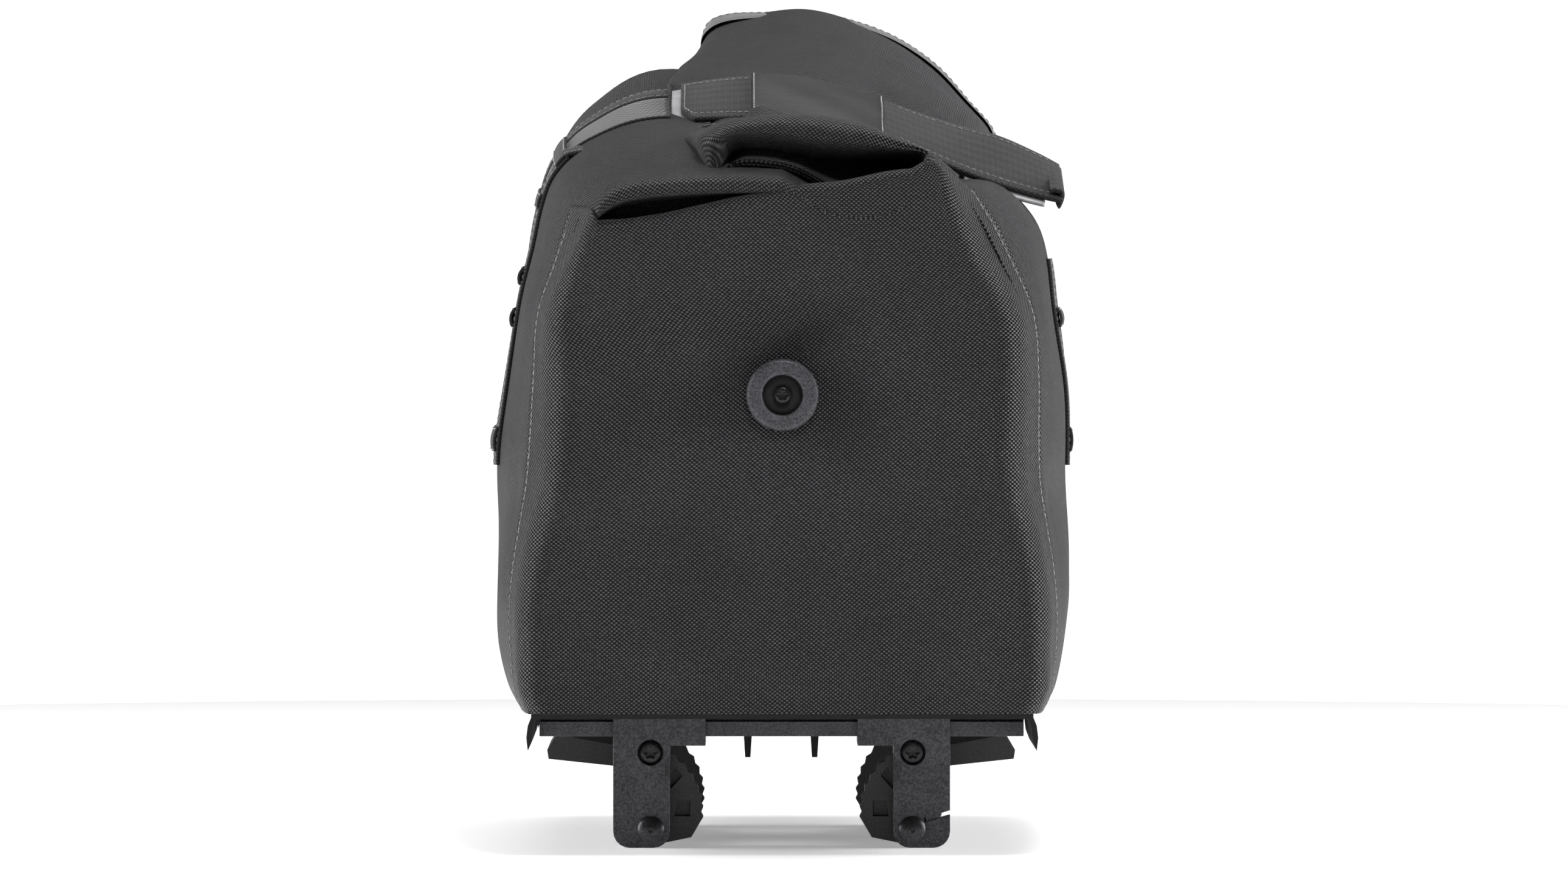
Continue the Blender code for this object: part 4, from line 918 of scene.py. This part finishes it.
def moulded_plate():
    """Thin bead-blasted metal plate: pale grey, with a fine even grain and faint cloudy staining."""
    made = Nodes("blasted_plate_metal")
    here = made.here()
    cloud = made.noise(here, 120, 4.0, 0.6)
    grain = made.noise(here, 2400, 2.0)
    made.plug("Base Color", made.ramp(cloud, 0.3, 0.7, (0.30, 0.30, 0.31), (0.44, 0.44, 0.45)))
    made.plug("Roughness", made.math("ADD", 0.38, made.math("MULTIPLY", grain, 0.15)))
    made.plug("Metallic", 0.55)
    made.bump(grain, 0.00002)
    return made.material


def closed_strip(name, grid, normal, thick, finish):
    """Strip of the strap with a rounded section: an outer face, an inner face and two half-round edges.

    Each end closes on the middle of its last section.
    """
    rows = len(grid)
    edge = np.linspace(0, math.pi, 7)[1:-1]
    radius = thick / 2
    out = np.gradient(grid, axis=0)
    out /= np.linalg.norm(out, axis=-1, keepdims=True)
    middle = grid - normal * radius
    top = middle + normal * radius
    turned = [(math.cos(t), math.sin(t)) for t in edge]
    back = np.stack([middle[-1] + normal[-1] * radius * c + out[-1] * radius * s for c, s in turned])
    low = (middle - normal * radius)[::-1]
    front = np.stack([middle[0] - normal[0] * radius * c - out[0] * radius * s for c, s in turned])
    loop = np.concatenate([top, back, low, front]).transpose(1, 0, 2)
    centre = middle[rows // 2]
    caps = [np.repeat(centre[end][None, None], loop.shape[1], axis=1) for end in (0, -1)]
    grid = np.concatenate([caps[0], loop, caps[1]])
    piece = surface(name, grid, finish, 0.0, "tube", around=True)
    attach(piece, "carrying_strap")
    return piece


grid, normal = strap_grid(-0.0425, -0.0118, 40, swell=0.0008, cut=(0.24, -0.0425, -0.0370))
left_webbing = closed_strip("strap_left_length", grid, normal, 0.0022, strap_webbing)
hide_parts("strap_left_webbing")
box_stitch = [(grid[1, 2:-2], normal[1, 2:-2]), (grid[-2, 2:-2], normal[-2, 2:-2])]
box_stitch += [(grid[1:-1, 2], normal[1:-1, 2])]
stitches("strap_left_stitches", box_stitch, "carrying_strap", 0.0026, 0.0019, 0.00026)

grid, normal = strap_grid(-0.0125, 0.0432, 60, wider=0.0008, lift=0.0009, swell=0.0010)
x, y = grid[..., 0], grid[..., 1]
grid = grid + normal * (0.0006 * np.sin(x * 160 + y * 90) * np.sin(y * 120 + 1))[..., None]
sleeve = closed_strip("grip_sleeve", grid, normal, 0.0042, sleeve_material())
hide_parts("grip_wrap")
grid_plate, normal_plate = strap_grid(-0.0468, -0.0300, 24, lift=-0.0024, cut=(0.14, -0.0468, -0.0440))
plate_metal = moulded_plate()
left_plate = closed_strip("left_strap_plate", grid_plate, normal_plate, 0.0022, plate_metal)
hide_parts("left_hook_plate")
grid_plate, normal_plate = strap_grid(0.0780, 0.1115, 30, wider=0.0026, lift=-0.0024)
right_plate = closed_strip("right_strap_plate", grid_plate, normal_plate, 0.0020, plate_metal)
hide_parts("right_hook_plate")
sleeve_ends = [(grid[:, 1], normal[:, 1]), (grid[:, -2], normal[:, -2])]
stitches("grip_sleeve_stitches", sleeve_ends, "carrying_strap", 0.0024, 0.0020, 0.00034)

grid, normal = strap_grid(0.0425, 0.1185, 70, swell=0.0008)
right_webbing = closed_strip("strap_right_length", grid, normal, 0.0022, strap_webbing)
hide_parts("strap_right_webbing")
long_stitch = [(grid[1, 6:-4], normal[1, 6:-4]), (grid[-2, 6:-4], normal[-2, 6:-4])]
stitches("strap_right_stitches", long_stitch, "carrying_strap", 0.0030, 0.0022, 0.00022)

# The tab: the webbing's end turned down and back under itself.
share = np.linspace(0, 1, 12)[:, None]
tab_y = strap_y + 0.0015 + (strap_width - 0.003) * share
tab_line = np.array([
    (0.1130, 0.2778), (0.1165, 0.2778), (0.1192, 0.2762), (0.1190, 0.2728),
    (0.1172, 0.2692), (0.1158, 0.2708), (0.1150, 0.2740)])
fine_line = sampled(tab_line, 40)
tab_x, tab_depth = np.broadcast_arrays(fine_line[:, 0], tab_y)
grid = np.stack([tab_x, tab_depth, fine_line[:, 1] + 0.0105 * share], axis=-1)
normal = normals_of(grid)
normal *= np.sign(normal[:, :10, 2].mean())
tab = closed_strip("strap_end_tab", grid, normal, 0.0020, strap_webbing)
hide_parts("pull_tab")

# ---- Moulded plastic and metal parts ----
# Glass-filled nylon with a fine spark-eroded grain and a broad cloudy variation of tone.


def moulded(name, dark, light, roughness, grain=0.00006, metallic=0.0):
    """Moulded or coated surface: fine grain, broad cloudy variation of tone and a few dull patches."""
    made = Nodes(name)
    here = made.here()
    cloud = made.noise(here, 90, 4.0, 0.6)
    speck = made.noise(here, 1100, 3.0, 0.75)
    tone = made.weighed(cloud, 0.25, speck, 0.75)
    made.plug("Base Color", made.ramp(tone, 0.40, 0.66, dark, light))
    made.plug("Roughness", made.math("ADD", roughness - 0.1, made.math("MULTIPLY", cloud, 0.2)))
    made.plug("Metallic", metallic)
    made.bump(speck, grain)
    return made.material


nylon = moulded("grained_nylon", (0.008, 0.008, 0.010), (0.105, 0.105, 0.120), 0.45, 0.00012)
dark_nylon = moulded("dark_nylon", (0.010, 0.010, 0.011), (0.034, 0.034, 0.037), 0.5)
# Near-black finish for the base plate, also used as painted shade on the floor of each stud recess.
black_nylon_and_recess_shade = moulded("black_nylon_and_recess_shade", (0.0015, 0.0015, 0.002), (0.006, 0.006, 0.007), 0.75)
black_steel = moulded(
    "blackened_screw_steel", (0.030, 0.030, 0.033), (0.085, 0.085, 0.09), 0.34, 0.00002, 0.7)


def body_of(node):
    """The body that the record gives a node to."""
    return next(body for body, names in frame["record"]["behaviour"]["bodies"].items() if node in names)


def rounded(name, node, finish, width=0.0004, segments=3):
    """A node's own shape, with its loose triangles merged, its flat faces joined and sharp edges rounded."""
    body = body_of(node)
    mesh = frame["nodes"][node].data.copy()
    shape = bmesh.new()
    shape.from_mesh(mesh)
    bmesh.ops.remove_doubles(shape, verts=shape.verts, dist=2e-6)
    bmesh.ops.dissolve_limit(shape, angle_limit=math.radians(0.5), verts=shape.verts, edges=shape.edges)
    shape.to_mesh(mesh)
    shape.free()
    mesh.materials.clear()
    mesh.materials.append(finish)
    mesh.polygons.foreach_set("use_smooth", [True] * len(mesh.polygons))
    obj = bpy.data.objects.new(name, mesh)
    scene.collection.objects.link(obj)
    edge = obj.modifiers.new("edge", "BEVEL")
    edge.width, edge.segments, edge.limit_method = width, segments, "ANGLE"
    edge.angle_limit = math.radians(32)
    edge.miter_outer = "MITER_ARC"
    shade = obj.modifiers.new("shade", "WEIGHTED_NORMAL")
    shade.keep_sharp = True
    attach(obj, body)
    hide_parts(node)
    return obj


for end in ("front", "back"):
    for side in ("left", "right"):
        rounded(f"{end}_{side}_rack_hook", f"{end}_{side}_hook", nylon, 0.0009)
        rounded(f"{end}_{side}_clamp_jaw", f"{end}_{side}_jaw", dark_nylon, 0.0003)
        rounded(f"{end}_{side}_square_nut", f"{end}_{side}_clamp_nut", black_steel, 0.0003)
    rounded(f"{end}_t_rail", f"{end}_rail", nylon, 0.0005)
    rounded(f"{end}_stud_ring", f"{end}_stud", nylon, 0.0003)
for side in ("left", "right"):
    rounded(f"{side}_paddle_lever", f"{side}_release_lever", dark_nylon, 0.0005)
    rounded(f"{side}_pivot_shaft", f"{side}_release_shaft", black_steel, 0.0003)
rounded("under_plate", "base_plate", black_nylon_and_recess_shade, 0.0005)


def star_screw(name, node, head_start, star_radius, star_depth):
    """Button or cap screw along Y, turned from the node's own sizes, with a six-lobed socket in its head.

    Rows run from the socket's floor out over the head and back along the shank. The socket's wall
    is a circle whose radius swings by a sixth six times round.
    """
    low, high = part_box(node)
    centre = (low + high) / 2
    sign = -1 if centre.y < 0 else 1
    tip, tail = (low.y, high.y) if sign < 0 else (high.y, low.y)
    head = (high.x - low.x) / 2
    seat = tip - sign * head_start
    steps = 72
    turn = np.linspace(0, 2 * math.pi, steps, endpoint=False)
    lobes = star_radius * (1 + 0.17 * np.cos(6 * turn))
    plain = np.ones_like(turn)
    shank = 0.55 * head
    rows = [
        (0 * plain, star_depth),
        (lobes * 0.7, star_depth),
        (lobes, star_depth - 0.0001),
        (lobes, 0.00025),
        (lobes + 0.0002, 0.0),
        (plain * head * 0.70, 0.0),
        (plain * (head - 0.0007), 0.0001),
        (plain * (head - 0.0002), 0.0004),
        (plain * head, 0.0009),
        (plain * head, head_start),
        (plain * shank, head_start),
        (plain * shank, abs(tail - tip)),
        (0 * plain, abs(tail - tip)),
    ]
    points = []
    for r, depth in rows:
        y = np.full(steps, tip - sign * depth)
        points.append(np.stack([centre.x + r * np.cos(turn), y, centre.z + r * np.sin(turn)], axis=-1))
    piece = surface(name, np.array(points), screw_black, 0.0, "tube", around=True)
    edge = piece.modifiers.new("edge", "EDGE_SPLIT")
    edge.split_angle = math.radians(40)
    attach(piece, body_of(node))
    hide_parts(node)


screw_black = moulded("black_oxide_screws", (0.012, 0.012, 0.013), (0.045, 0.045, 0.048), 0.3, 0.00002, 0.6)
for end in ("front", "back"):
    star_screw(f"{end}_stud_fixing", f"{end}_stud_screw", 0.0022, 0.0019, 0.0014)
    for side in ("left", "right"):
        star_screw(f"{end}_{side}_clamp_fixing", f"{end}_{side}_clamp_screw", 0.0045, 0.0024, 0.0027)
        rounded(
            f"{end}_{side}_floor_screw", f"{end}_{side}_base_screw", black_steel, 0.0002)
    rounded(f"{end}_stud_washer_nut", f"{end}_stud_backing_nut", black_steel, 0.0003)
rounded("stiff_floor_board", "bottom_board", dark_nylon, 0.0006)
for side in ("left", "right"):
    frame["nodes"][side + "_torsion_spring"].data.materials[0] = black_steel

# ---- Painted shade in the stud recesses ----
# A thin black disc lies on the floor of each stud's recess, under the screw's head, as painted shade of the
# recess.
for end, sign in (("front", -1), ("back", 1)):
    low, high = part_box(end + "_stud")
    rest = (high.y if sign < 0 else low.y) + sign * 0.0023
    steps, middle_z = 64, (low.z + high.z) / 2
    turn = np.linspace(0, 2 * math.pi, steps, endpoint=False)
    section = [(0.0036, 0.0), (0.0037, 0.00015), (0.0060, 0.0003), (0.0080, 0.00015), (0.0081, 0.0)]
    ring = []
    for r, rise in section:
        y = np.full(steps, rest + sign * rise)
        ring.append(np.stack([r * np.cos(turn), y, middle_z + r * np.sin(turn)], axis=-1))
    # This black disc is painted shade for the recess.
    washer = surface(end + "_stud_recess_shade", np.array(ring), black_nylon_and_recess_shade, 0.0, (0, sign, 0), around=True)
    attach(washer, "bag")

# ---- Bottom cloth ----
# The bag's floor cloth, pressed flat between the inner board and the base plate and sewn in all round.
board_low, board_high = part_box("bottom_panel")
share_x, share_y = np.linspace(0, 1, 60)[:, None], np.linspace(0, 1, 90)[None, :]
hem_gap = 0.001
x = board_low.x + hem_gap + (board_high.x - board_low.x - 2 * hem_gap) * share_x
y = board_low.y + hem_gap + (board_high.y - board_low.y - 2 * hem_gap) * share_y
x, y = np.broadcast_arrays(x, y)
z = floor_z + 0.0004 + 0.0001 * np.sin(x * 160) * np.sin(y * 120)
floor_cloth = surface("floor_cloth", np.stack([x, y, z], axis=-1), bag_cloth, 0.0012, (0, 0, -1))
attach(floor_cloth, "bag")
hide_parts("bottom_panel")
